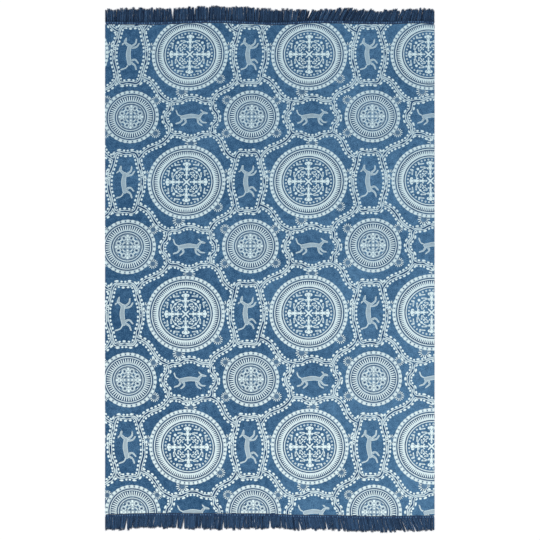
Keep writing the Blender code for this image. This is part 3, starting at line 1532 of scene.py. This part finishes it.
@dataclass(frozen=True)
class PaleFloor:
    """Plain pale studio floor."""

    name: str = "pale_floor"
    colour: Colour = dye(250, 250, 250)

    def build(self) -> bpy.types.Material:
        """Make the material.

        Returns:
            The finished material.
        """
        material, graph = start_material(self.name)
        place = graph.place()
        tone = graph.noise(place, 1.5, 1.0)
        colour = graph.blend(tone * 0.05, self.colour, dye(240, 241, 242))
        end_material(graph, colour, 0.9, None, specular=0.1)
        return material


# ---------------------------------------------------------------------------------------------
# The print's layout on the mesh
# ---------------------------------------------------------------------------------------------


@dataclass
class LineNet:
    """Many lines cut into short steps, kept as arrays.

    place is a point of a line, heading the line's direction there, run the distance from its
    start, left the distance to its end and half the line's half width, all in mm.
    """

    place: Array
    heading: Array
    run: Array
    left: Array
    half: Array

    @classmethod
    def of(cls, lines: list[tuple[Array, tuple[float, float, float]]], step: float = 1.5) -> "LineNet":
        """Cut smooth lines into steps and repeat them over the neighbouring repeats.

        Args:
            lines: Points of each line in mm, and its half width at the start, middle and end.
            step: Length of a step in mm.

        Returns:
            The net, kept where it can reach the middle repeat.
        """
        places, headings, runs, lefts, halves = [], [], [], [], []
        for points, widths in lines:
            line = through(points, step)
            heading = np.gradient(line, axis=0)
            heading /= np.linalg.norm(heading, axis=1)[:, None] + 1e-9
            share = np.linspace(0, 1, len(line))
            places.append(line)
            headings.append(heading)
            runs.append(share * (len(line) - 1) * step)
            lefts.append(runs[-1][::-1])
            halves.append(np.interp(share, (0, 0.5, 1), widths))
        place, heading = np.vstack(places), np.vstack(headings)
        run, left, half = np.concatenate(runs), np.concatenate(lefts), np.concatenate(halves)
        shifts = [(i * REPEAT_ACROSS, j * REPEAT_DOWN) for i in (-1, 0, 1) for j in (-1, 0, 1)]
        place = np.vstack([place + shift for shift in shifts])
        heading = np.tile(heading, (9, 1))
        run, left, half = np.tile(run, 9), np.tile(left, 9), np.tile(half, 9)
        near = (np.abs(place) < (REPEAT_ACROSS / 2 + 60, REPEAT_DOWN / 2 + 60)).all(axis=1)
        return cls(place[near], heading[near], run[near], left[near], half[near])

    def nearest(self, points: Array) -> Array:
        """Number of the line step nearest to each point, for the width of its line.

        The squared distance is the point's square plus the step's square less twice their
        product, and the point's own square is the same for all steps, so it is left out. The
        square of the half width is taken off, so that a wide line wins out to its own edge.

        Args:
            points: Points in mm, one a row.

        Returns:
            One step number for each point.
        """
        steps = self.place.astype(np.float32)
        squares = (steps**2).sum(axis=1) - self.half.astype(np.float32) ** 2
        found = np.empty(len(points), np.int64)
        for start in range(0, len(points), 4096):
            part = points[start:start + 4096].astype(np.float32)
            found[start:start + 4096] = np.argmin(squares - 2 * part @ steps.T, axis=1)
        return found

    def measure(self, centres: Array, corners: Array) -> Array:
        """Run, distance and half width of the line nearest to each face, at the face's corners.

        Past an end of the line the distance is taken from that end, which makes the end round,
        and it has no sign there, so that it doesn't pass zero inside a face.

        Args:
            centres: Middle of each face, in mm.
            corners: Corners of each face, in mm.

        Returns:
            Run along the line, signed distance from it and half width, for each corner.
        """
        step = self.nearest(centres)[:, None]
        reach = corners - self.place[step]
        heading = self.heading[step]
        along = (reach * heading).sum(axis=2)
        across = reach[..., 0] * -heading[..., 1] + reach[..., 1] * heading[..., 0]
        held = np.clip(along, -self.run[step], self.left[step])
        past = ((along != held).sum(axis=1) > 1)[:, None]
        away = np.where((across < 0) & ~past, -1, 1) * np.hypot(across, along - held)
        return np.stack((self.run[step] + held, away, np.broadcast_to(self.half[step], away.shape)), axis=2)


@dataclass(frozen=True)
class PrintLay:
    """How the printed repeat lies on the cloth, in metres.

    Down the rug the rows rise and fall back by a half wave and a full wave, and the half wave
    is higher at the right. The columns drift to the left by a half wave, and the pitch between
    them swells by another and widens evenly.
    """

    first_row: float = 0.782
    span: float = 1.6675
    rise: float = 0.009
    second_rise: float = 0.004
    tilt: float = 0.008
    column: float = -0.291
    drift: float = -0.016
    pitch: float = 0.4345
    swell: float = 0.011
    widening: float = 0.005

    def on_screen(self, places: Array) -> Array:
        """Carry places on the cloth back to the printer's own flat repeat.

        Args:
            places: X and Y on the cloth in metres, one a row.

        Returns:
            Across and up in mm, from a large roundel of the first row.
        """
        x, y = places[:, 0], places[:, 1]
        share = (self.first_row - y) / self.span
        wave = np.sin(pi * share)
        ride = (self.rise + self.tilt * (x / RUG.width + 0.5)) * wave
        ride = ride + self.second_rise * np.sin(2 * pi * share)
        column = self.column + self.drift * wave
        pitch = self.pitch + self.swell * wave + self.widening * share
        return np.column_stack(((x - column) / pitch * REPEAT_ACROSS, (y - self.first_row - ride) * 1000))


def tie(start: Array, end: Array) -> Array:
    """Points of a band that swings once to each side on its way from start to end.

    Args:
        start: First point, in mm.
        end: Last point, in mm.

    Returns:
        Points of the tie, one a row.
    """
    share = np.linspace(0, 1, TIE_STEPS)[:, None]
    line = end - start
    side = np.array((-line[1], line[0])) / np.linalg.norm(line)
    return start + line * share + side * TIE_SWING * np.sin(2 * pi * share)


def band_lines() -> list[Array]:
    """Lines of the net of beaded bands: two cells, and four ties from the upright cell to its neighbours.

    Returns:
        Points of each line, in mm.
    """
    around = np.linspace(0, 2 * pi, CELL_STEPS)
    lines = [UPRIGHT_CELL.at(around), LYING_CELL.at(around)]
    for right in (-1, 1):
        for up in (-1, 1):
            leave = np.array([np.arctan2(up, right)])
            shift = np.array((REPEAT_ACROSS if right > 0 else 0.0, REPEAT_DOWN if up > 0 else 0.0))
            lines.append(tie(UPRIGHT_CELL.at(leave)[0], LYING_CELL.at(leave + pi)[0] + shift))
    return lines


class PrintLayout:
    """Where the print falls on the cloth, as numbers for the corners of every face."""

    def __init__(self) -> None:
        """Cut the bands and the animals into short steps once."""
        self.lay = PrintLay()
        self.bands = LineNet.of([(line, (0.0, 0.0, 0.0)) for line in band_lines()])
        self.animals = LineNet.of([line for hound in HOUNDS for line in hound.lines()])

    def dress(self, mesh: bpy.types.Mesh) -> None:
        """Store the print's local coordinates on a mesh of quads.

        Args:
            mesh: Mesh whose faces all have four corners, apart from some at the end.
        """
        numbers = corner_vertices(mesh)
        counts = corner_counts(mesh)
        quads = int((counts == 4).argmin()) if (counts != 4).any() else len(counts)
        screen = self.lay.on_screen(vertex_places(mesh)[:, :2].astype(float))
        corners = screen[numbers[:quads * 4]].reshape(-1, 4, 2)
        centres = corners.mean(axis=1)
        rest = len(numbers) - quads * 4
        layers = {
            "roundel": self.roundel(centres, corners),
            "rosette": self.rosette(centres, corners),
            "band": self.from_net(self.bands, centres, corners),
            "animal": self.from_net(self.animals, centres, corners),
        }
        for name, values in layers.items():
            far = np.full((rest, 3), 900.0 if name != "animal" else (0.0, 900.0, 0.0))
            put_vectors(mesh, name, np.vstack((values.reshape(-1, 3), far)))

    def from_net(self, net: LineNet, centres: Array, corners: Array) -> Array:
        """Bring faces into the middle repeat and measure them against a net of lines."""
        middle = np.column_stack((wrapped(centres[:, 0], REPEAT_ACROSS), wrapped(centres[:, 1], REPEAT_DOWN)))
        return net.measure(middle, corners + (middle - centres)[:, None, :])

    def roundel(self, centres: Array, corners: Array) -> Array:
        """Corners of each face from the middle of its nearest roundel, and that roundel's kind.

        Each face takes the roundel that is nearer for its size.

        Args:
            centres: Middle of each face, in mm.
            corners: Corners of each face, in mm.

        Returns:
            Across and up in mm, and the kind, for each corner.
        """
        local = []
        for offset in ((0.0, 0.0), SMALL_OFFSET):
            moved = centres - offset
            sideways, upright = wrapped(moved[:, 0], REPEAT_ACROSS), wrapped(moved[:, 1], REPEAT_DOWN)
            local.append(np.column_stack((sideways, upright)))
        large_away, small_away = (np.linalg.norm(moved, axis=1) for moved in local)
        small = small_away / SMALL_SHARE < large_away / LARGE_SHARE
        near = np.where(small[:, None], local[1], local[0])
        flat = corners - centres[:, None, :] + near[:, None, :]
        kind = np.where(small, Kind.SMALL.value, Kind.LARGE.value)
        return np.dstack((flat, np.broadcast_to(kind[:, None], flat.shape[:2])))

    def rosette(self, centres: Array, corners: Array) -> Array:
        """Corners of each face from the middle of its nearest rosette, as shares of its radius.

        Args:
            centres: Middle of each face, in mm.
            corners: Corners of each face, in mm.

        Returns:
            Across and up for each corner, and a zero.
        """
        spots = [(np.array(r.centre(LARGE_RIM)), r.radius) for r in LARGE_ROSETTES]
        spots += [(np.array(r.centre(SMALL_RIM)) + SMALL_OFFSET, r.radius) for r in SMALL_ROSETTES]
        best = np.full(len(centres), np.inf)
        near = np.zeros_like(centres)
        size = np.ones(len(centres))
        for centre, radius in spots:
            moved = centres - centre
            local = np.column_stack((wrapped(moved[:, 0], REPEAT_ACROSS), wrapped(moved[:, 1], REPEAT_DOWN)))
            away = np.linalg.norm(local, axis=1) / radius
            closer = away < best
            best[closer], near[closer], size[closer] = away[closer], local[closer], radius
        flat = (corners - centres[:, None, :] + near[:, None, :]) / size[:, None, None]
        return np.dstack((flat, np.zeros(flat.shape[:2])))


# ---------------------------------------------------------------------------------------------
# Pieces
# ---------------------------------------------------------------------------------------------


@dataclass
class RugCloth:
    """The cloth: one closed sheet between two uneven ends, with a rounded rim.

    rim holds the inset and height of each of its rows from the top down, and a pair of the map
    how much of the map a part takes and where it starts.
    """

    columns: int = 238
    rows: int = 350
    rim: tuple[Pair, ...] = ((0.0012, 0.00285), (0.0004, 0.0023), (0.0, 0.0013), (0.0004, 0.0))
    shift_y: float = 0.0
    map_length: float = 1.802
    map_across: Pair = (0.98, 0.01)
    map_top: Pair = (0.94, 0.052)
    map_under: Pair = (0.03, 0.008)
    waves: tuple[tuple[float, float, float, float], ...] = (
        (0.00010, 2.3, 5.1, 0.4),
        (0.00008, -4.2, 3.7, 1.9),
        (0.00006, 7.9, 6.3, 4.1),
        (0.00004, 13.0, -9.0, 2.2),
    )

    def outline(self, inset: float, across: Array, along: Array) -> Array:
        """Places on a sheet that stops a little inside the cloth's edge.

        Args:
            inset: Distance kept from the edge, in metres.
            across: From 0 at the left to 1 at the right.
            along: From 0 at the bottom to 1 at the top.

        Returns:
            X and Y of each place, in metres.
        """
        x = (across - 0.5) * (RUG.width - 2 * inset)
        top = TOP_END.line(x) - inset
        bottom = BOTTOM_END.line(x) - inset
        return np.column_stack((x, top * along - bottom * (1 - along) + self.shift_y))

    def build(self) -> bpy.types.Object:
        """Make the sheet: a fine top, a rim of a few rows and a flat underside.

        The top is a grid over the outline, raised by a few long waves. The rim repeats the
        grid's border ever further out and lower, and the underside closes its last row.

        Returns:
            The cloth's object, with its print and finishes.
        """
        across = np.tile(np.linspace(0, 1, self.columns + 1), self.rows + 1)
        along = np.repeat(np.linspace(0, 1, self.rows + 1), self.columns + 1)
        border = self.border()
        first = self.outline(self.rim[0][0], across, along)
        height = self.rim[0][1] + rolling(first, self.waves)
        sheets = [np.column_stack((first, height))]
        for inset, level in self.rim[1:]:
            ring = self.outline(inset, across[border], along[border])
            sheets.append(np.column_stack((ring, np.full(len(ring), level))))
        verts = np.vstack(sheets)
        top = grid_faces(self.rows + 1, self.columns + 1)
        rings = [border] + [len(first) + k * len(border) + np.arange(len(border))
                            for k in range(len(self.rim) - 1)]
        walls = [np.column_stack((a, b, np.roll(b, -1), np.roll(a, -1)))
                 for a, b in zip(rings[:-1], rings[1:])]
        under = self.underside(rings[-1])
        faces = np.vstack([top, *walls]).tolist() + under
        cloth = make_object("printed_cloth", verts, faces)
        self.dress(cloth, len(top), sum(len(w) for w in walls))
        return cloth

    def border(self) -> Array:
        """Grid numbers around the border, turning left as seen from above.

        Returns:
            One number for each vertex of the border.
        """
        width, last = self.columns + 1, self.rows * (self.columns + 1)
        return np.concatenate((
            np.arange(0, self.columns),
            np.arange(self.columns, last + self.columns, width),
            np.arange(last + self.columns, last, -1),
            np.arange(last, 0, -width),
        ))

    def underside(self, ring: Array) -> Faces:
        """Faces of the flat underside: strips from side to side, and one wide face at each end.

        Args:
            ring: Vertex numbers of the last row of the rim, from the bottom left corner.

        Returns:
            Vertex numbers of each face, seen from below.
        """
        n, m = self.columns, self.rows
        right = ring[n:n + m + 1]
        left = np.concatenate((ring[:1], ring[:n + m + n - 1:-1]))[:m + 1]
        strips = np.column_stack((left[1:-2], left[2:-1], right[2:-1], right[1:-2])).tolist()
        bottom = [int(v) for v in [left[1], right[1], *ring[n:0:-1], ring[0]]]
        top_row = ring[n + m:n + m + n + 1]
        top = [int(v) for v in [right[-2], left[-2], *top_row[::-1]]]
        return strips + [bottom, top]

    def dress(self, cloth: bpy.types.Object, top: int, walls: int) -> None:
        """Give the cloth its print, finishes and map.

        Args:
            cloth: The finished mesh's object.
            top: Count of faces on top.
            walls: Count of faces on the rim.
        """
        mesh = cloth.data
        PrintLayout().dress(mesh)
        mesh.materials.append(PrintedCotton().build())
        mesh.materials.append(PlainCotton().build())
        slots = np.zeros(len(mesh.polygons), np.int32)
        slots[top + walls:] = 1
        mesh.polygons.foreach_set("material_index", slots)
        self.lay_out_map(mesh, top + walls)

    def lay_out_map(self, mesh: bpy.types.Mesh, upper: int) -> None:
        """Spread the top over nearly the whole map, and the underside over a thin strip below it.

        Args:
            mesh: Mesh that takes the map.
            upper: Count of faces on the top and the rim, which come first.
        """
        places = vertex_places(mesh)[corner_vertices(mesh)]
        u = (places[:, 0] / RUG.width + 0.5) * self.map_across[0] + self.map_across[1]
        up_the_rug = places[:, 1] / self.map_length + 0.5
        v = up_the_rug * self.map_top[0] + self.map_top[1]
        below = int(corner_counts(mesh)[:upper].sum())
        v[below:] = up_the_rug[below:] * self.map_under[0] + self.map_under[1]
        put_uv(mesh, "OFBake", np.column_stack((u, v)))


@dataclass
class FringeTape:
    """The tape at one end: a flat woven cord that follows the cloth's cut line.

    shoulders holds the powers that square up the profile's width and height. slack is what the
    profile leaves of the tape's thickness for the swells, on each half, and end_steps is the
    number of stations over which each end of the tape rounds off.
    """

    end: RugEnd
    stations: int = 540
    sides: int = 10
    puff: float = 0.00035
    shift_y: float = 0.0
    side_margin: float = 0.0004
    shoulders: Pair = (0.55, 0.6)
    slack: float = 0.0003
    end_steps: int = 2
    thinnest: float = 0.02

    def build(self) -> bpy.types.Object:
        """Carry a rounded flat profile along the end of the cloth.

        The profile is a flattened ring: its width is a power of a cosine and its height a power
        of a sine, so it is broad and round-shouldered. Its top swells once for every loop.

        Returns:
            The tape's object.
        """
        half = RUG.width / 2 - self.side_margin
        x = np.linspace(-half, half, self.stations)
        turn = np.linspace(0, 2 * pi, self.sides, endpoint=False) + pi / self.sides
        wide = np.sign(np.cos(turn)) * np.abs(np.cos(turn)) ** self.shoulders[0]
        high = np.sign(np.sin(turn)) * np.abs(np.sin(turn)) ** self.shoulders[1]
        steps = np.arange(self.stations)
        ends = np.clip(np.minimum(steps, steps[::-1]) / self.end_steps, 0, 1)
        fat = np.sqrt(np.clip(1 - (1 - ends) ** 2, self.thinnest, 1))
        middle = self.end.line(x) + RUG.header_gap + RUG.header_depth / 2
        swell = self.puff * np.cos(2 * pi * x / TapeCotton().loop_pitch)
        reach = RUG.header_depth / 2
        out = middle[:, None] + wide[None, :] * reach * fat[:, None]
        lift = RUG.header_thickness / 2 - self.slack
        z = lift + high[None, :] * lift * fat[:, None] + np.clip(high, 0, 1) * swell[:, None] * fat[:, None]
        y = self.end.side.value * out + self.shift_y
        verts = np.dstack((np.broadcast_to(x[:, None], y.shape), y, np.maximum(z, 0))).reshape(-1, 3)
        faces = self.skin()
        tape = make_object(f"fringe_tape_{self.end.name}", verts, faces)
        self.dress(tape)
        return tape

    def skin(self) -> Faces:
        """Quads around the tape and a flat face at each of its ends.

        Returns:
            Vertex numbers of each face.
        """
        ring = np.arange(self.sides)
        after = np.roll(ring, -1)
        steps = (np.arange(self.stations - 1) * self.sides)[:, None]
        quads = np.stack((ring + steps, ring + steps + self.sides, after + steps + self.sides,
                          after + steps), axis=2).reshape(-1, 4)
        last = (self.stations - 1) * self.sides
        caps = [ring.tolist(), (ring[::-1] + last).tolist()]
        if self.end.side is Side.BOTTOM:
            return quads.tolist() + caps
        return quads[:, ::-1].tolist() + [cap[::-1] for cap in caps]

    def dress(self, tape: bpy.types.Object) -> None:
        """Give the tape its finish and the map that runs along it.

        Args:
            tape: The tape's object.
        """
        mesh = tape.data
        places = vertex_places(mesh)
        out = (places[:, 1] - self.shift_y) * self.end.side.value - self.end.line(places[:, 0])
        corners = corner_vertices(mesh)
        put_uv(mesh, "tape", np.column_stack((places[:, 0], out / RUG.header_depth))[corners])
        mesh.materials.append(TapeCotton().build())


@dataclass
class FringeYarns:
    """The cut fringe at one end: thin yarns gathered in locks, lying on the floor.

    lock_reach, yarn_reach, lock_sway and yarn_sway say how far locks, and yarns in a lock,
    differ from each other. The piles are the heights of the heap at its root and at its tip.
    """

    end: RugEnd
    locks: int = 150
    yarns: int = 30
    points: int = 6
    sides: int = 3
    radius: float = 0.00060
    shift_y: float = 0.0
    half_root: float = 0.0042
    half_tip: float = 0.0041
    strays: float = 0.05
    stray_sway: float = 0.0045
    lock_reach: float = 0.0045
    yarn_reach: float = 0.0012
    longest_cut: float = 0.004
    lock_sway: float = 0.0015
    yarn_sway: float = 0.0008
    curl: float = 0.0006
    tuck: float = 0.003
    side_margin: float = 0.0008
    floor_gap: float = 0.00005
    lowest: float = 0.00002
    root_pile: float = 0.0026
    tip_pile: float = 0.0016
    tip_thin: float = 0.45
    straight: float = 0.35
    # Painted light and shade: yarns higher in the heap are made lighter and those beneath darker.
    pile_light: float = 0.35
    shade_spread: float = 0.26
    pale_share: float = 0.05
    pale_shade: float = 0.95

    def build(self) -> bpy.types.Object:
        """Lay out every yarn's path, carry a small ring along each and close its ends.

        A path starts inside the tape's outer side and runs outwards by its reach. It moves
        sideways from its place in the lock's root to its place in the lock's tip, partly by a
        smooth step, curls a little, and lies on a lower pile at its tip than at its root.

        Returns:
            The fringe's object.
        """
        rng = np.random.default_rng(self.end.seed)
        count = self.locks * self.yarns
        lock = np.repeat(np.arange(self.locks), self.yarns)
        pitch = RUG.width / self.locks
        root_mid = -RUG.width / 2 + (lock + 0.5) * pitch
        share = root_mid / RUG.width + 0.5
        spread = rng.uniform(-1, 1, count)
        reach = eased(self.end.reach, share)
        reach = reach + rng.uniform(-self.lock_reach, self.lock_reach, self.locks)[lock]
        reach = reach + rng.normal(0, self.yarn_reach, count) - self.longest_cut * rng.random(count) ** 3
        sway = eased(self.end.lean, share) * reach + self.end.push(root_mid)
        sway = sway + rng.normal(0, self.lock_sway, self.locks)[lock]
        sway = sway + rng.normal(0, self.yarn_sway, count)
        stray = rng.random(count) < self.strays
        sway = np.where(stray, sway + rng.normal(0, self.stray_sway, count), sway)
        x0 = root_mid + spread * self.half_root
        x1 = root_mid + sway + spread * self.half_tip
        t = np.linspace(0, 1, self.points)[None, :]
        step = t * t * (3 - 2 * t)
        curl = rng.normal(0, self.curl, count)[:, None]
        curl = curl * np.sin(pi * t * rng.uniform(1, 2.4, count)[:, None])
        x = x0[:, None] + (x1 - x0)[:, None] * (self.straight * t + (1 - self.straight) * step) + curl
        limit = RUG.width / 2 - self.side_margin
        x = np.clip(x, -limit, limit)
        out = self.end.line(x0)[:, None] + RUG.header_gap + RUG.header_depth - self.tuck
        out = out + (reach[:, None] + self.tuck) * t
        layer = rng.random(count)[:, None]
        floor = self.radius + self.floor_gap
        z = floor + layer * (self.root_pile * (1 - t) ** 1.3 + self.tip_pile * t)
        y = self.end.side.value * out + self.shift_y
        return self.carry(np.dstack((x, y, z)), rng, layer[:, 0])

    def carry(self, paths: Array, rng: np.random.Generator, layer: Array) -> bpy.types.Object:
        """Carry a ring along every path.

        Args:
            paths: Points of each path.
            rng: Source of the yarns' shades.
            layer: Height of each yarn in its lock, from 0 to 1.

        Returns:
            The object with all yarns.
        """
        count, points, _ = paths.shape
        turn = np.linspace(0, 2 * pi, self.sides, endpoint=False)[None, None, :]
        turn = turn + rng.uniform(0, 2 * pi, (count, 1, 1))
        thin = np.where(np.arange(points) == points - 1, self.tip_thin, 1.0)[None, :, None]
        ring_x = np.cos(turn) * self.radius * thin
        ring_z = np.sin(turn) * self.radius * thin
        x = paths[:, :, 0, None] + ring_x
        z = np.maximum(paths[:, :, 2, None] + ring_z, self.lowest)
        y = np.broadcast_to(paths[:, :, 1, None], x.shape)
        verts = np.stack((x, y, z), axis=3).reshape(-1, 3)
        ring = np.arange(self.sides)
        after = np.roll(ring, -1)
        block = points * self.sides
        start = (np.arange(count) * block)[:, None, None]
        rows = (np.arange(points - 1) * self.sides)[None, :, None]
        a = start + rows
        quads = np.stack((a + ring, a + after, a + after + self.sides, a + ring + self.sides), axis=3)
        quads = quads.reshape(-1, 4)
        heads = start[:, :, 0] + ring[::-1]
        tails = start[:, :, 0] + block - self.sides + ring
        if self.end.side is Side.TOP:
            quads, heads, tails = quads[:, ::-1], heads[:, ::-1], tails[:, ::-1]
        faces = quads.tolist() + heads.tolist() + tails.tolist()
        fringe = make_object(f"fringe_yarns_{self.end.name}", verts, faces)
        # Each yarn's own random tone, plus painted light and shade: lighter the higher it lies in the heap.
        shade = rng.normal(self.end.yarn_tone, self.shade_spread, count) + self.pile_light * (layer - 0.5)
        shade = np.where(rng.random(count) < self.pale_share, self.pale_shade, np.clip(shade, 0, 1))
        put_numbers(fringe.data, "yarn_shade", np.repeat(shade, block))
        run = np.broadcast_to(paths[:, :, 1, None], x.shape)
        side = np.broadcast_to(ring / self.sides, x.shape)
        put_vectors(fringe.data, "yarn_run", np.stack((run, side, np.zeros(x.shape)), axis=3), "POINT")
        fringe.data.materials.append(FringeYarn().build())
        return fringe


# ---------------------------------------------------------------------------------------------
# Studio
# ---------------------------------------------------------------------------------------------


@dataclass
class Studio:
    """Floor, light and camera. The camera looks straight down on the rug, and angles are in degrees."""

    view_width: float = 1.9667
    middle: Pair = (0.0008, -0.0037)
    lens: float = 100.0
    sensor: float = 36.0
    floor_half: float = 9.0
    floor_drop: float = 0.0002
    sun_power: float = 1.5
    sky_power: float = 0.72
    sky: Colour = (0.97, 0.98, 1.0, 1.0)
    sun_spread: float = 50.0
    sun_turn: Pair = (-28.0, -24.0)
    sight: float = 60.0

    def build(self) -> None:
        """Make the floor, the light and the camera."""
        self.floor()
        self.light()
        self.camera()

    def floor(self) -> None:
        """A flat square just under the rug."""
        h = self.floor_half
        z = -self.floor_drop
        verts = np.array([(-h, -h, z), (h, -h, z), (h, h, z), (-h, h, z)])
        floor = make_object("studio_floor", verts, [[0, 1, 2, 3]], smooth=False)
        floor.data.materials.append(PaleFloor().build())

    def light(self) -> None:
        """A wide soft sun from the upper left, and an even pale sky."""
        lamp = bpy.data.lights.new("soft_sun", "SUN")
        lamp.energy = self.sun_power
        lamp.angle = radians(self.sun_spread)
        sun = bpy.data.objects.new("soft_sun", lamp)
        sun.rotation_euler = (radians(self.sun_turn[0]), radians(self.sun_turn[1]), 0)
        bpy.context.scene.collection.objects.link(sun)
        world = bpy.data.worlds.new("pale_sky")
        world.use_nodes = True
        sky = world.node_tree.nodes["Background"]
        sky.inputs["Color"].default_value = self.sky
        sky.inputs["Strength"].default_value = self.sky_power
        bpy.context.scene.world = world
        bpy.context.scene.view_settings.view_transform = "Standard"

    def camera(self) -> None:
        """Hang the camera at the height from which the view's width fits the rug's surface."""
        data = bpy.data.cameras.new("face_on")
        data.lens = self.lens
        data.sensor_width = self.sensor
        data.clip_end = self.sight
        camera = bpy.data.objects.new("face_on", data)
        height = self.view_width * self.lens / self.sensor + RUG.thickness
        camera.location = (*self.middle, height)
        bpy.context.scene.collection.objects.link(camera)
        bpy.context.scene.camera = camera


# ---------------------------------------------------------------------------------------------
# Putting it together
# ---------------------------------------------------------------------------------------------


def report(piece: bpy.types.Object) -> None:
    """Log a piece's size and its triangles.

    Args:
        piece: The piece's object.
    """
    piece.data.calc_loop_triangles()
    size = " x ".join(f"{side * 1000:.1f}" for side in piece.dimensions)
    log.info("%s: %s mm, %d triangles", piece.name, size, len(piece.data.loop_triangles))


def main() -> None:
    """Build the rug's pieces in order, tie them to the frame and set up the studio."""
    logging.basicConfig(level=logging.INFO, format="%(name)s %(message)s")
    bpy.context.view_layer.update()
    low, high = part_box("rug_cloth")
    shift = (low.y + high.y) / 2 - (TOP_END.furthest() - BOTTOM_END.furthest()) / 2
    cloth = RugCloth(shift_y=shift).build()
    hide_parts("rug_cloth")
    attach(cloth, BODY)
    extras = []
    for end, node in ((TOP_END, "fringe_top"), (BOTTOM_END, "fringe_bottom")):
        for piece in (FringeTape(end, shift_y=shift).build(), FringeYarns(end, shift_y=shift).build()):
            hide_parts(node)
            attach(piece, BODY)
            extras.append(piece)
    Studio().build()
    for piece in (cloth, *extras):
        report(piece)


if __name__ == "__main__":
    main()
